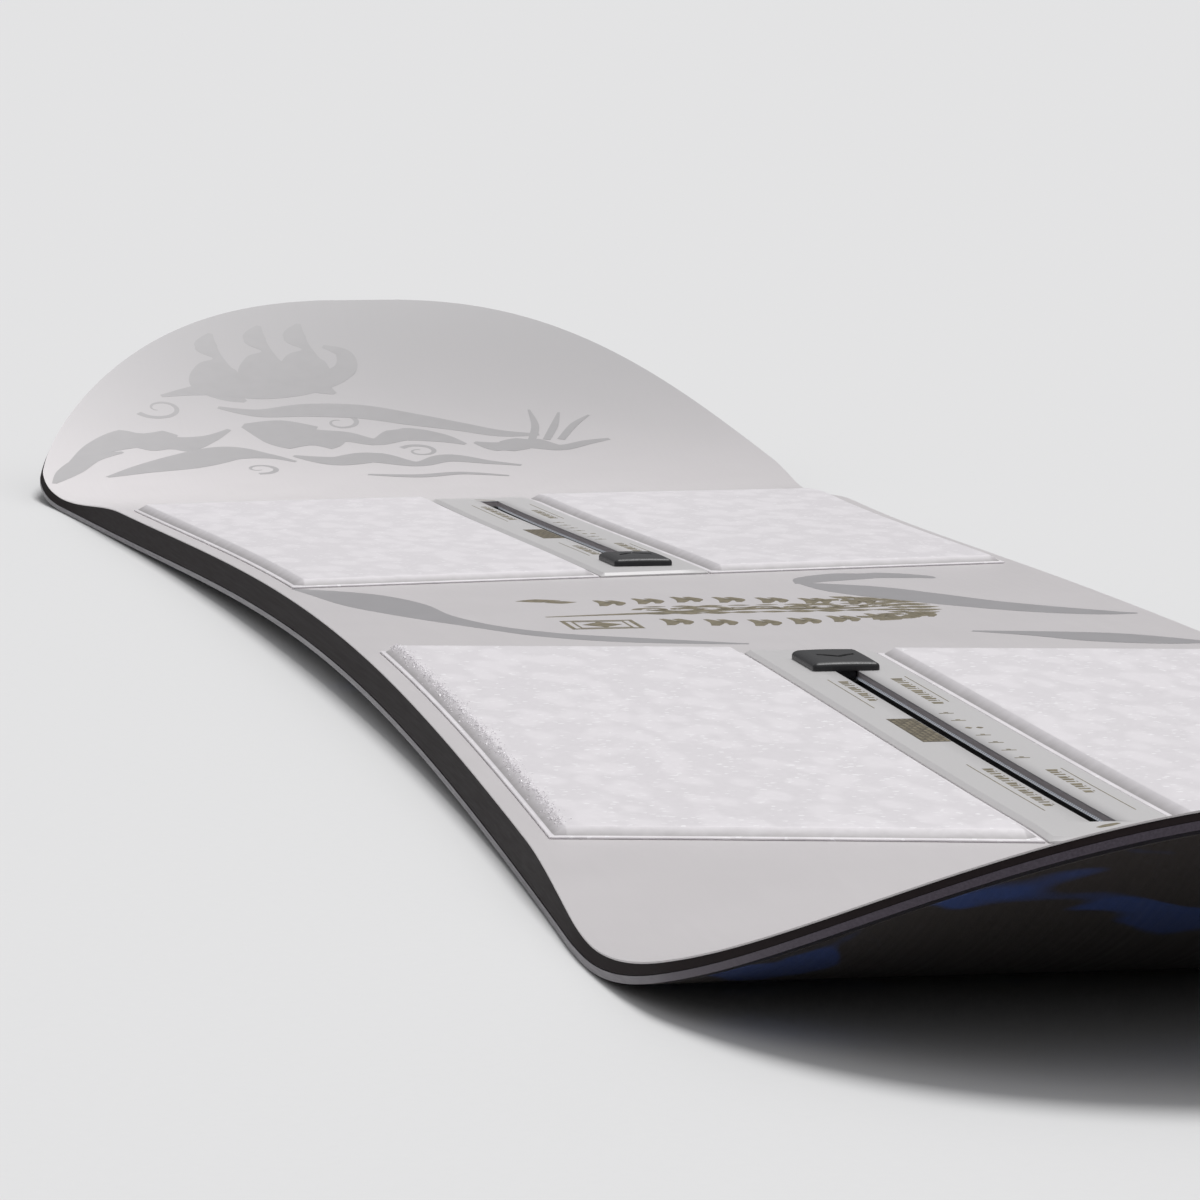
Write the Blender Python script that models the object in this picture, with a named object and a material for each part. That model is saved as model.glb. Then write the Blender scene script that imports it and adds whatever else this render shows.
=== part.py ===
"""A 158 cm directional snowboard with one mounting channel under each foot.

The board is built as it is pressed: base and steel edges at the bottom, then laminate, core, sidewalls and
tip spacers, laminate and topsheet, with the channel rails let into the core and the pads bonded on top.

Frame: +X to the nose, +Y to the rider's left facing the nose, +Z up. The origin lies under the middle of the
board's length, on the plane that the base rests on. Stations along the board are measured from the middle
of the two channels, which sits SETBACK behind the origin.
"""

import math

import bmesh
import bpy
import numpy as np

# Outline at the topsheet's rim, from the middle of the stance.
NOSE_LENGTH = 0.803
TAIL_LENGTH = 0.775
SETBACK = (NOSE_LENGTH - TAIL_LENGTH) / 2
WAIST_HALF = 0.126
SIDECUT_RADIUS = 8.4
SIDECUT_END = 0.650
NOSE_TURN, NOSE_POWERS = 0.612, (1.95, 2.65)
TAIL_TURN, TAIL_POWERS = 0.547, (2.20, 2.75)
TIP_SWEEP = 0.965 * math.pi / 2
TIP_STEPS = 12

# Side profile of the base: camber between the feet, upturned nose and tail.
CAMBER, CAMBER_REACH, CAMBER_POWER = 0.0065, 0.562, 2.65
NOSE_RISE, NOSE_KICK, NOSE_CURVE = 0.065, 0.588, 1.97
TAIL_RISE, TAIL_KICK, TAIL_CURVE = 0.0565, 0.579, 2.05

# Board thickness: full between the feet, thin through the contact zones and thinner at the tips.
THICK_MIDDLE, THICK_CONTACT, THICK_TIP = 0.0104, 0.0048, 0.0043
TAPER_START, TAPER_END, TIP_TAPER_END = 0.455, 0.590, 0.800

# Layers. GAP is the glue line between neighbours.
GAP = 0.0002
BASE_THICK = 0.0011
LAMINATE_THICK = 0.0005
TOPSHEET_THICK = 0.00045
CORE_BOTTOM = BASE_THICK + LAMINATE_THICK + 2 * GAP
CORE_BELOW_DECK = TOPSHEET_THICK + LAMINATE_THICK + 2 * GAP
FLARE = 0.0012
EDGE_WIDTH, EDGE_HEIGHT = 0.0020, 0.0018
TANG_REACH, TANG_LOW, TANG_HIGH = 0.0070, 0.0013, 0.0016
DAMPING_LOW, DAMPING_HIGH = 0.0018, 0.0021
SIDEWALL_BOTTOM, SIDEWALL_WIDTH = 0.0023, 0.0080
CORE_TAIL_END, CORE_NOSE_END = -0.665, 0.690
CENTRE_STRINGER_HALF, INNER_STRINGER_OUTSIDE = 0.022, 0.074

# Stance pads and channel plates. Their ends are skewed, the right side lying farther from the waist.
PAD_START, PAD_END = 0.121, 0.484
PAD_SKEW = 0.203
PAD_INSIDE = 0.019
PAD_RIM_MARGIN = 0.0054
PAD_FLANGE_WIDTH, PAD_FLANGE_TOP = 0.0009, 0.0006
PAD_CHAMFER, PAD_TOP = 0.0033, 0.0027
PLATE_HALF, PLATE_RIM_TOP, PLATE_TOP, PLATE_CHAMFER = 0.0184, 0.0005, 0.0015, 0.0014

# Channel: heights are measured from the deck, which is the topsheet's upper face.
SLOT_HALF, SLOT_END = 0.00310, 0.460
MOUTH_HALF, MOUTH_STEP = 0.00345, -0.0003
KEYHOLE_START, KEYHOLE_END, KEYHOLE_HALF = 0.1496, 0.1634, 0.0059
RAIL_START, RAIL_END, RAIL_HALF = 0.136, 0.466, 0.0070
RAIL_BOTTOM, RAIL_SHOULDER = -0.0064, -CORE_BELOW_DECK
NECK_START, NECK_END, NECK_HALF, NECK_TAPER = 0.147, 0.4622, 0.00445, 0.00025
NECK_TOP = PLATE_TOP - 0.0001
CAVITY_START, CAVITY_END, CAVITY_HALF = 0.139, 0.463, 0.0055
CAVITY_FLOOR, CAVITY_ROOF, RAIL_CUT_BOTTOM = -0.0055, -0.0024, -0.0045
ABOVE_EVERYTHING, CUT_OVERLAP = 0.0040, 0.0020

# Plug and channel nuts.
PLUG_LENGTH, PLUG_WIDTH = 0.031, 0.0192
PLUG_RIM_TOP, PLUG_TOP, PLUG_CHAMFER = 0.0031, 0.0047, 0.0016
STEM_LENGTH, STEM_WIDTH, STEM_BOTTOM = 0.0112, 0.0102, -0.0049
TONGUE_END, TONGUE_WIDTH, TONGUE_BOTTOM = 0.0137, 0.0054, -0.0007
NUT_LENGTH, NUT_WIDTH, NUT_HEIGHT = 0.011, 0.0104, 0.0021
COLLAR_WIDTH, COLLAR_TOP = 0.0059, 0.0030
NUT_HOLE_RADIUS, NUT_HOLE_SIDES = 0.0025, 16
NUT_INNER_PARK, NUT_OUTER_PARK = 0.170, 0.4535

NOSE, TAIL = 1, -1
LEFT, RIGHT = 1, -1
ENDS = (("nose", NOSE), ("tail", TAIL))
SIDES = (("left", LEFT), ("right", RIGHT))


# ---------------------------------------------------------------- shape of the board

def half_width(x):
    """Half the topsheet's width at station x."""
    nose = np.clip((x - NOSE_TURN) / (NOSE_LENGTH - NOSE_TURN), 0, 1)
    tail = np.clip((-x - TAIL_TURN) / (TAIL_LENGTH - TAIL_TURN), 0, 1)
    sidecut = WAIST_HALF + np.minimum(np.abs(x), SIDECUT_END) ** 2 / (2 * SIDECUT_RADIUS)
    rounding = (1 - nose ** NOSE_POWERS[0]) ** (1 / NOSE_POWERS[1])
    return sidecut * rounding * (1 - tail ** TAIL_POWERS[0]) ** (1 / TAIL_POWERS[1])


def smooth_step(start, end, value):
    t = np.clip((value - start) / (end - start), 0, 1)
    return t * t * (3 - 2 * t)


def exact_floor(x):
    """Height of the base's underside."""
    camber = CAMBER * np.maximum(1 - (np.abs(x) / CAMBER_REACH) ** 2, 0) ** CAMBER_POWER
    nose = NOSE_RISE * np.maximum((x - NOSE_KICK) / (NOSE_LENGTH - NOSE_KICK), 0) ** NOSE_CURVE
    tail = TAIL_RISE * np.maximum((-x - TAIL_KICK) / (TAIL_LENGTH - TAIL_KICK), 0) ** TAIL_CURVE
    return camber + nose + tail


def exact_thickness(x):
    thinned = (THICK_MIDDLE - THICK_CONTACT) * smooth_step(TAPER_START, TAPER_END, np.abs(x))
    thinned += (THICK_CONTACT - THICK_TIP) * smooth_step(TAPER_END, TIP_TAPER_END, np.abs(x))
    return THICK_MIDDLE - thinned


def make_stations():
    """Stations that every layer shares, so that neighbouring layers bend alike."""
    middle = np.linspace(-TAPER_START, TAPER_START, 21)
    taper = np.linspace(TAPER_START, TAPER_END, 9)[1:]
    angles = np.linspace(0, TIP_SWEEP, TIP_STEPS + 1)
    nose = NOSE_TURN + (NOSE_LENGTH - NOSE_TURN) * np.sin(angles)
    tail = -TAIL_TURN - (TAIL_LENGTH - TAIL_TURN) * np.sin(angles)
    tail_taper = -taper[taper < TAIL_TURN - 0.004]
    return np.sort(np.concatenate([tail, tail_taper, middle, taper, nose]))


STATIONS = make_stations()
REACH = np.concatenate([[STATIONS[0] - 0.005], STATIONS, [STATIONS[-1] + 0.005]])


def floor_height(x):
    return np.interp(x, REACH, exact_floor(REACH))


def deck_height(x):
    return np.interp(x, REACH, exact_floor(REACH) + exact_thickness(REACH))


def above_floor(height):
    return lambda x: floor_height(x) + height


def below_deck(depth):
    return lambda x: deck_height(x) - depth


def make_rim():
    """Left rim from tail centre to nose centre: points, and the vectors that offset them outwards by one."""
    x = np.concatenate([STATIONS[:1], STATIONS, STATIONS[-1:]])
    y = np.concatenate([[GAP / 2], half_width(STATIONS), [GAP / 2]])
    run = np.stack([np.diff(x), np.diff(y)], axis=1)
    run /= np.linalg.norm(run, axis=1)[:, None]
    normal = np.stack([-run[:, 1], run[:, 0]], axis=1)
    before, after = normal[:-1], normal[1:]
    mitre = (before + after) / (1 + np.sum(before * after, axis=1))[:, None]
    outward = np.concatenate([normal[:1], mitre, normal[-1:]])
    # Between the feet the offsets stay square to the board, so that the layers keep common stations.
    outward[:, 0] *= np.clip((np.abs(x) - 0.48) / 0.06, 0, 1)
    return np.stack([x, y], axis=1), outward


RIM, OUTWARD = make_rim()


def rim_between(start, end, inset):
    """Rim points from station start to station end, moved inwards by inset."""
    points = RIM - inset * OUTWARD
    inside = (RIM[:, 0] > start + 1e-6) & (RIM[:, 0] < end - 1e-6)
    path = [list(point) for point in points[inside]]
    if not inside[0]:
        path.insert(0, [start, np.interp(start, points[1:-1, 0], points[1:-1, 1])])
    if not inside[-1]:
        path.append([end, np.interp(end, points[1:-1, 0], points[1:-1, 1])])
    return path


# ---------------------------------------------------------------- solids

for old in list(bpy.data.objects):
    bpy.data.objects.remove(old, do_unlink=True)

stance_centre = bpy.data.objects.new("stance_centre", None)
stance_centre.location.x = -SETBACK
bpy.context.collection.objects.link(stance_centre)


def material(name, hex_colour, roughness, metallic=0.0):
    """Principled material from an sRGB hex colour."""
    finish = bpy.data.materials.new(name)
    finish.use_nodes = True
    shader = finish.node_tree.nodes["Principled BSDF"]
    channels = [int(hex_colour[i:i + 2], 16) / 255 for i in (0, 2, 4)]
    linear = [c / 12.92 if c <= 0.04045 else ((c + 0.055) / 1.055) ** 2.4 for c in channels]
    shader.inputs["Base Color"].default_value = (*linear, 1)
    shader.inputs["Roughness"].default_value = roughness
    shader.inputs["Metallic"].default_value = metallic
    return finish


def add_object(name, verts, faces, finish):
    """Mesh object from vertices and faces, with its normals turned outwards."""
    mesh = bpy.data.meshes.new(name)
    shape = bmesh.new()
    corners = [shape.verts.new([float(value) for value in point]) for point in verts]
    for face in faces:
        shape.faces.new([corners[i] for i in face])
    bmesh.ops.recalc_face_normals(shape, faces=shape.faces)
    shape.to_mesh(mesh)
    shape.free()
    if finish:
        mesh.materials.append(finish)
    obj = bpy.data.objects.new(name, mesh)
    obj.parent = stance_centre
    bpy.context.collection.objects.link(obj)
    return obj


def grid_solid(name, low, high, finish=None):
    """Solid between two grids of points that match row by row and column by column."""
    rows, columns = len(low), len(low[0])
    count = rows * columns
    verts = [point for grid in (low, high) for row in grid for point in row]
    faces = []
    for r in range(rows - 1):
        for c in range(columns - 1):
            cell = [r * columns + c, (r + 1) * columns + c, (r + 1) * columns + c + 1, r * columns + c + 1]
            faces.append([i + count for i in cell])
            faces.append(cell[::-1])
    border = [r * columns for r in range(rows)]
    border += [(rows - 1) * columns + c for c in range(1, columns)]
    border += [r * columns + columns - 1 for r in range(rows - 2, -1, -1)]
    border += [c for c in range(columns - 2, 0, -1)]
    for a, b in zip(border, border[1:] + border[:1]):
        faces.append([a, b, b + count, a + count])
    return add_object(name, verts, faces, finish)


def layer(name, low, high, start, end, inset, finish=None):
    """Board-wide layer between two heights, set in from the rim."""
    points = [(x, y) for x, y in rim_between(start, end, inset) if y > GAP]
    grids = [[[(x, -y, height(x)), (x, y, height(x))] for x, y in points] for height in (low, high)]
    return grid_solid(name, *grids, finish)


def rim_sweep(name, profile, start, end, side, finish):
    """Strip that follows one rim; profile is a closed list of (inset, height function)."""
    rings = [rim_between(start, end, inset) for inset, _ in profile]
    verts = [(ring[k][0], side * ring[k][1], height(ring[k][0]))
             for k in range(len(rings[0])) for ring, (_, height) in zip(rings, profile)]
    size, steps = len(profile), len(rings[0])
    faces = [list(range(size))[::-1], [(steps - 1) * size + i for i in range(size)]]
    for k in range(steps - 1):
        for i in range(size):
            j = (i + 1) % size
            faces.append([k * size + i, k * size + j, (k + 1) * size + j, (k + 1) * size + i])
    return add_object(name, verts, faces, finish)


def bend_to_deck(obj):
    """Cut a flat solid at the shared stations and lay it on the deck."""
    shape = bmesh.new()
    shape.from_mesh(obj.data)
    xs = [v.co.x for v in shape.verts]
    for station in STATIONS[(STATIONS > min(xs) + 1e-5) & (STATIONS < max(xs) - 1e-5)]:
        geometry = shape.verts[:] + shape.edges[:] + shape.faces[:]
        bmesh.ops.bisect_plane(shape, geom=geometry, dist=1e-7, plane_co=(station, 0, 0), plane_no=(1, 0, 0))
    for vert in shape.verts:
        vert.co.z += deck_height(vert.co.x)
    shape.to_mesh(obj.data)
    shape.free()


def block(name, xs, ys, low, high, finish=None, bent=True):
    """Rectangular solid, laid on the deck if bent."""
    grids = [[[(x, y, z) for y in ys] for x in xs] for z in (low, high)]
    obj = grid_solid(name, *grids, finish)
    if bent:
        bend_to_deck(obj)
    return obj


def cut(obj, *cutters):
    for cutter in cutters:
        cutter.hide_render = True
        cutter.display_type = "WIRE"
        difference = obj.modifiers.new(cutter.name, "BOOLEAN")
        difference.operation = "DIFFERENCE"
        difference.solver = "EXACT"
        difference.object = cutter


def raised_panel(name, end, inside, outside, steps, finish):
    """Panel with skewed ends and a stepped rim; steps lists (inset, height) from the rim inwards.

    inside and outside give the panel's side edges at a station.
    """
    count = len(steps)
    stations = end * STATIONS[(STATIONS > PAD_START + 0.03) & (STATIONS < PAD_END - 0.03)]
    rows = [(PAD_START, step) for step in range(count)]
    rows += [(end * x, count - 1) for x in sorted(stations, key=abs)]
    rows += [(PAD_END, step) for step in range(count - 1, -1, -1)]
    columns = [("inside", step) for step in range(count)]
    columns += [("outside", step) for step in range(count - 1, -1, -1)]
    low, high = [], []
    for distance, row_step in rows:
        low_row, high_row = [], []
        for edge, column_step in columns:
            margin = steps[column_step][0]
            x = y = distance * end
            for _ in range(6):
                y = inside(x) + margin if edge == "inside" else outside(x) - margin
                if distance in (PAD_START, PAD_END):
                    inset = steps[row_step][0] * (1 if distance == PAD_START else -1)
                    x = end * (distance + inset - y * PAD_SKEW)
            low_row.append((x, y, GAP))
            high_row.append((x, y, steps[min(row_step, column_step)][1]))
        low.append(low_row)
        high.append(high_row)
    panel = grid_solid(name, low, high, finish)
    bend_to_deck(panel)
    return panel


# ---------------------------------------------------------------- base, edges and laminates

TIP_TO_TAIL = (-1.0, 1.0)
SIDEWALL_SPAN = (-TAIL_TURN, NOSE_TURN)

layer("base_sheet", above_floor(0), above_floor(BASE_THICK), *TIP_TO_TAIL,
      EDGE_WIDTH + GAP - FLARE, material("base_polyethylene", "2B2826", 0.35))
steel = material("edge_steel", "8C8A8E", 0.3, 1.0)
foil = material("damping_foil", "1D1D1D", 0.8)
abs_black = material("sidewall_abs", "433E3F", 0.45)
glass_lower = material("lower_glass_laminate", "B9B48C", 0.4)
glass_upper = material("upper_glass_laminate", "C4C0A0", 0.4)
edge_profile = [(-FLARE, above_floor(0)),
                (EDGE_WIDTH - FLARE, above_floor(0)),
                (EDGE_WIDTH - FLARE, above_floor(TANG_LOW)),
                (TANG_REACH - FLARE, above_floor(TANG_LOW)),
                (TANG_REACH - FLARE, above_floor(TANG_HIGH)),
                (EDGE_WIDTH - FLARE, above_floor(TANG_HIGH)),
                (EDGE_WIDTH - FLARE, above_floor(EDGE_HEIGHT)),
                (-FLARE, above_floor(EDGE_HEIGHT))]
damping_profile = [(EDGE_WIDTH, above_floor(DAMPING_LOW)),
                   (TANG_REACH - FLARE, above_floor(DAMPING_LOW)),
                   (TANG_REACH - FLARE, above_floor(DAMPING_HIGH)),
                   (EDGE_WIDTH, above_floor(DAMPING_HIGH))]
sidewall_profile = [(GAP - FLARE, above_floor(SIDEWALL_BOTTOM)),
                    (SIDEWALL_WIDTH, above_floor(SIDEWALL_BOTTOM)),
                    (SIDEWALL_WIDTH, below_deck(CORE_BELOW_DECK)),
                    (0, below_deck(CORE_BELOW_DECK))]
for side_name, side in SIDES:
    rim_sweep(f"steel_edge_{side_name}", edge_profile, *TIP_TO_TAIL, side, steel)
    rim_sweep(f"damping_strip_{side_name}", damping_profile, *SIDEWALL_SPAN, side, foil)
    rim_sweep(f"sidewall_{side_name}", sidewall_profile, *SIDEWALL_SPAN, side, abs_black)

layer("lower_laminate", above_floor(BASE_THICK + GAP), above_floor(BASE_THICK + GAP + LAMINATE_THICK),
      *TIP_TO_TAIL, TANG_REACH - FLARE + 2 * GAP, glass_lower)


# ---------------------------------------------------------------- core and tip spacers

CORE_INSET = SIDEWALL_WIDTH + GAP


def stringer(name, inside, outside, finish):
    """Core strip between two edges: offsets from the centre line, or the side whose rim the edge follows."""
    rim = rim_between(CORE_TAIL_END, CORE_NOSE_END, CORE_INSET)
    grids = [[[(x, edge * y if edge in (LEFT, RIGHT) else edge, height(x)) for edge in (inside, outside)]
              for x, y in rim] for height in (above_floor(CORE_BOTTOM), below_deck(CORE_BELOW_DECK))]
    return grid_solid(name, *grids, finish)


poplar = material("core_poplar", "C9A877", 0.7)
beech = material("core_beech", "B98D5C", 0.7)
core_centre = stringer("core_stringer_centre", -CENTRE_STRINGER_HALF, CENTRE_STRINGER_HALF, beech)
for side_name, side in SIDES:
    stringer(f"core_stringer_inner_{side_name}", side * (CENTRE_STRINGER_HALF + GAP),
             side * INNER_STRINGER_OUTSIDE, poplar)
    stringer(f"core_stringer_outer_{side_name}", side * (INNER_STRINGER_OUTSIDE + GAP), side, beech)

for end_name, span, core_end in (("nose", (NOSE_TURN + GAP, 1.0), (0.5, CORE_NOSE_END + GAP)),
                                 ("tail", (-1.0, -TAIL_TURN - GAP), (CORE_TAIL_END - GAP, -0.5))):
    spacer = layer(f"{end_name}_spacer", above_floor(CORE_BOTTOM), below_deck(CORE_BELOW_DECK), *span, 0,
                   abs_black)
    core_space = layer(f"{end_name}_core_cutter", above_floor(-CUT_OVERLAP), below_deck(-CUT_OVERLAP),
                       *core_end, SIDEWALL_WIDTH)
    cut(spacer, core_space)


# ---------------------------------------------------------------- channels, deck and pads

upper_laminate = layer("upper_laminate", below_deck(CORE_BELOW_DECK - GAP), below_deck(TOPSHEET_THICK + GAP),
                       *TIP_TO_TAIL, FLARE, glass_upper)
topsheet = layer("topsheet", below_deck(TOPSHEET_THICK), below_deck(0), *TIP_TO_TAIL, 0,
                 material("topsheet_satin", "C8C6C6", 0.35))

rail_metal = material("rail_aluminium", "8E9094", 0.35, 1.0)
plate_plastic = material("plate_satin_plastic", "C9C8C8", 0.35)
pad_rubber = material("pad_pearl_elastomer", "DCD9DC", 0.4)
plug_plastic = material("plug_black_plastic", "232325", 0.4)
nut_steel = material("nut_black_zinc", "2C2C2E", 0.35, 1.0)


def channel_rail(end_name, end):
    """Aluminium rail: box section let into the core, with a slotted neck that lines the plate's opening."""
    xs = [RAIL_START, NECK_START - NECK_TAPER, NECK_START, NECK_END, NECK_END + NECK_TAPER, RAIL_END]
    ys = [-RAIL_HALF, -NECK_HALF - NECK_TAPER, -NECK_HALF, NECK_HALF, NECK_HALF + NECK_TAPER, RAIL_HALF]
    neck = (2, 3)
    low = [[(end * x, y, RAIL_BOTTOM) for y in ys] for x in xs]
    high = [[(end * x, y, NECK_TOP if i in neck and j in neck else RAIL_SHOULDER) for j, y in enumerate(ys)]
            for i, x in enumerate(xs)]
    rail = grid_solid(f"channel_rail_{end_name}", low, high, rail_metal)
    bend_to_deck(rail)
    return rail


def channel_plug(end_name, end):
    """Black cap over the keyhole, with a stem that fills it and a tongue that closes the slot's start."""
    half_x, half_y = PLUG_LENGTH / 2, PLUG_WIDTH / 2
    stem_x, stem_y, tongue_y = STEM_LENGTH / 2, STEM_WIDTH / 2, TONGUE_WIDTH / 2
    positive_y = [tongue_y, tongue_y + NECK_TAPER, stem_y, stem_y + NECK_TAPER, half_y - PLUG_CHAMFER, half_y]
    ys = [-y for y in positive_y[::-1]] + positive_y
    xs = [-half_x, PLUG_CHAMFER - half_x, -stem_x - NECK_TAPER, -stem_x, stem_x, stem_x + NECK_TAPER,
          TONGUE_END - NECK_TAPER, TONGUE_END, half_x]

    def underside(x, y):
        if abs(x) <= stem_x and abs(y) <= stem_y:
            return STEM_BOTTOM
        if 0 < x < TONGUE_END and abs(y) <= tongue_y:
            return TONGUE_BOTTOM
        return PLATE_TOP + GAP

    def topside(x, y):
        return PLUG_RIM_TOP if abs(x) == half_x or abs(y) == half_y else PLUG_TOP

    low = [[(end * x, y, underside(x, y)) for y in ys] for x in xs]
    high = [[(end * x, y, topside(x, y)) for y in ys] for x in xs]
    plug = grid_solid(f"channel_plug_{end_name}", low, high, plug_plastic)
    centre = end * (KEYHOLE_START + KEYHOLE_END) / 2
    plug.location = (centre, 0, float(deck_height(centre)))
    rise = deck_height(centre + half_x) - deck_height(centre - half_x)
    plug.rotation_euler.y = -math.atan2(rise, PLUG_LENGTH)


def channel_nut(name, station, slope, height):
    """T-section M6 nut, with its origin on the line it slides along."""
    half, collar = NUT_WIDTH / 2, COLLAR_WIDTH / 2
    foot, shoulder = -NUT_HEIGHT / 2, NUT_HEIGHT / 2
    section = [(-half, foot), (half, foot), (half, shoulder), (collar, shoulder),
               (collar, COLLAR_TOP), (-collar, COLLAR_TOP), (-collar, shoulder), (-half, shoulder)]
    count = len(section)
    verts = [(x, y, z) for x in (-NUT_LENGTH / 2, NUT_LENGTH / 2) for y, z in section]
    faces = [list(range(count))[::-1], list(range(count, 2 * count))]
    faces += [[i, (i + 1) % count, (i + 1) % count + count, i + count] for i in range(count)]
    nut = add_object(name, verts, faces, nut_steel)
    nut.location = (station, 0, height)
    nut.rotation_euler.y = slope
    sides = NUT_HOLE_SIDES
    turns = [math.tau * i / sides for i in range(sides)]
    ring = [(NUT_HOLE_RADIUS * math.cos(a), NUT_HOLE_RADIUS * math.sin(a)) for a in turns]
    verts = [(x, y, z) for z in (-NUT_LENGTH, NUT_LENGTH) for x, y in ring]
    faces = [list(range(sides)), list(range(sides, 2 * sides))]
    faces += [[i, (i + 1) % sides, (i + 1) % sides + sides, i + sides] for i in range(sides)]
    hole = add_object(f"{name}_hole_cutter", verts, faces, None)
    hole.parent = nut
    cut(nut, hole)


PAD_STEPS = [(0, PAD_FLANGE_TOP), (PAD_FLANGE_WIDTH, PAD_FLANGE_TOP),
             (PAD_FLANGE_WIDTH + PAD_CHAMFER, PAD_TOP)]


def nut_line(end):
    """Height of the nuts' path at each park position, and the tilt of the line between them."""
    middle = (CAVITY_FLOOR + CAVITY_ROOF) / 2
    inner, outer = (float(deck_height(end * x)) + middle for x in (NUT_INNER_PARK, NUT_OUTER_PARK))
    return inner, outer, end * math.atan2(inner - outer, NUT_OUTER_PARK - NUT_INNER_PARK)


for end_name, end in ENDS:
    neck_span = (end * (NECK_START - NECK_TAPER), end * (NECK_END + NECK_TAPER))
    slot_span = (end * (KEYHOLE_END - CUT_OVERLAP), end * SLOT_END)
    deck_hole = block(f"{end_name}_deck_cutter", (neck_span[0] - end * GAP, neck_span[1] + end * GAP),
                      (-KEYHOLE_HALF, KEYHOLE_HALF), -CUT_OVERLAP, ABOVE_EVERYTHING)
    neck_room = block(f"{end_name}_neck_cutter", neck_span, (-NECK_HALF - NECK_TAPER, NECK_HALF + NECK_TAPER),
                      -CUT_OVERLAP, ABOVE_EVERYTHING)
    pocket = block(f"{end_name}_pocket_cutter", (end * (RAIL_START - GAP), end * (RAIL_END + GAP)),
                   (-RAIL_HALF - GAP, RAIL_HALF + GAP), RAIL_BOTTOM - GAP, ABOVE_EVERYTHING)
    slot = block(f"{end_name}_slot_cutter", slot_span, (-SLOT_HALF, SLOT_HALF), RAIL_CUT_BOTTOM,
                 ABOVE_EVERYTHING)
    mouth_ys = (-MOUTH_HALF, -SLOT_HALF, SLOT_HALF, MOUTH_HALF)
    mouth_low = [[(x, y, MOUTH_STEP + abs(y) - SLOT_HALF) for y in mouth_ys] for x in slot_span]
    mouth_high = [[(x, y, ABOVE_EVERYTHING) for y in mouth_ys] for x in slot_span]
    mouth = grid_solid(f"{end_name}_mouth_cutter", mouth_low, mouth_high)
    bend_to_deck(mouth)
    keyhole = block(f"{end_name}_keyhole_cutter", (end * KEYHOLE_START, end * KEYHOLE_END),
                    (-KEYHOLE_HALF, KEYHOLE_HALF), RAIL_CUT_BOTTOM, ABOVE_EVERYTHING)
    cavity = block(f"{end_name}_cavity_cutter", (end * CAVITY_START, end * CAVITY_END),
                   (-CAVITY_HALF, CAVITY_HALF), CAVITY_FLOOR, CAVITY_ROOF)
    cut(core_centre, pocket)
    cut(upper_laminate, deck_hole)
    cut(topsheet, deck_hole)
    cut(channel_rail(end_name, end), cavity, keyhole, slot, mouth)

    plate = raised_panel(f"channel_plate_{end_name}", end, lambda x: -PLATE_HALF, lambda x: PLATE_HALF,
                         [(0, PLATE_RIM_TOP), (PLATE_CHAMFER, PLATE_TOP)], plate_plastic)
    cut(plate, keyhole, neck_room)
    raised_panel(f"stance_pad_{end_name}_left", end, lambda x: PAD_INSIDE,
                 lambda x: float(half_width(x)) - PAD_RIM_MARGIN, PAD_STEPS, pad_rubber)
    raised_panel(f"stance_pad_{end_name}_right", end, lambda x: PAD_RIM_MARGIN - float(half_width(x)),
                 lambda x: -PAD_INSIDE, PAD_STEPS, pad_rubber)

    channel_plug(end_name, end)
    inner_height, outer_height, slope = nut_line(end)
    channel_nut(f"channel_nut_{end_name}_inner", end * NUT_INNER_PARK, slope, inner_height)
    channel_nut(f"channel_nut_{end_name}_outer", end * NUT_OUTER_PARK, slope, outer_height)
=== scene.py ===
"""Looks of a 158 cm directional snowboard with a mounting channel under each foot.

The sections follow the board as it is pressed and fitted, from the base up to the plugs and nuts, then the
studio. Stations along the board are measured from the middle of the two channels, as a shop measures stance,
and every piece is moved back by SETBACK into the frame. Heights on the deck are measured from the topsheet.
"""
import math
import random

import bmesh
import bpy
import numpy as np
from mathutils import Matrix, Vector


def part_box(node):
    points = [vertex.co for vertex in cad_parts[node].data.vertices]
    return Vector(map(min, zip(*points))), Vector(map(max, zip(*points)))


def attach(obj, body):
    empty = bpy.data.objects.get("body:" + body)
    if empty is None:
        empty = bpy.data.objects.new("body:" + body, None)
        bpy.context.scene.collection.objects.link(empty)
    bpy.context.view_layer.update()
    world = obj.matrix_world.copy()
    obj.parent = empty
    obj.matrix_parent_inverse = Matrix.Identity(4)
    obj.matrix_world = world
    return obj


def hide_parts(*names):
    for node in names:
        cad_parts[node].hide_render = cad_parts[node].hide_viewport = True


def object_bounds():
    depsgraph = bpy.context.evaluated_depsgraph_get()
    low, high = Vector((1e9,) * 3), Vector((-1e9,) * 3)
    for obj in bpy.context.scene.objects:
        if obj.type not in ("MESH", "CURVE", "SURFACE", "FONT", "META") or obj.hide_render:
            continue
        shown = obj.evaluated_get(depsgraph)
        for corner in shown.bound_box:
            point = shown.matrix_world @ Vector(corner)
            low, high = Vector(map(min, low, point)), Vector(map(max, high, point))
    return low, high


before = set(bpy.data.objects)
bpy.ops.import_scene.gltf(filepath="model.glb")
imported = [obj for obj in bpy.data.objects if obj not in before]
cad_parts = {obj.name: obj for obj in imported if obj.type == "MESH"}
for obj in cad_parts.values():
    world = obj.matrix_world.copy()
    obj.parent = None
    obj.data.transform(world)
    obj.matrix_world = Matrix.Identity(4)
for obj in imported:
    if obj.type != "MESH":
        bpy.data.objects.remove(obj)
cad_box = [[float(value) for value in corner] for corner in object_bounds()]


# ---------------------------------------------------------------- base sheet
# The running surface: sintered polyethylene about 1.1 mm thick, black-brown with deep blue cloud patches
# die-cut into it. A stone grinds fine lines along the board, which break up the waxed sheen.

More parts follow.
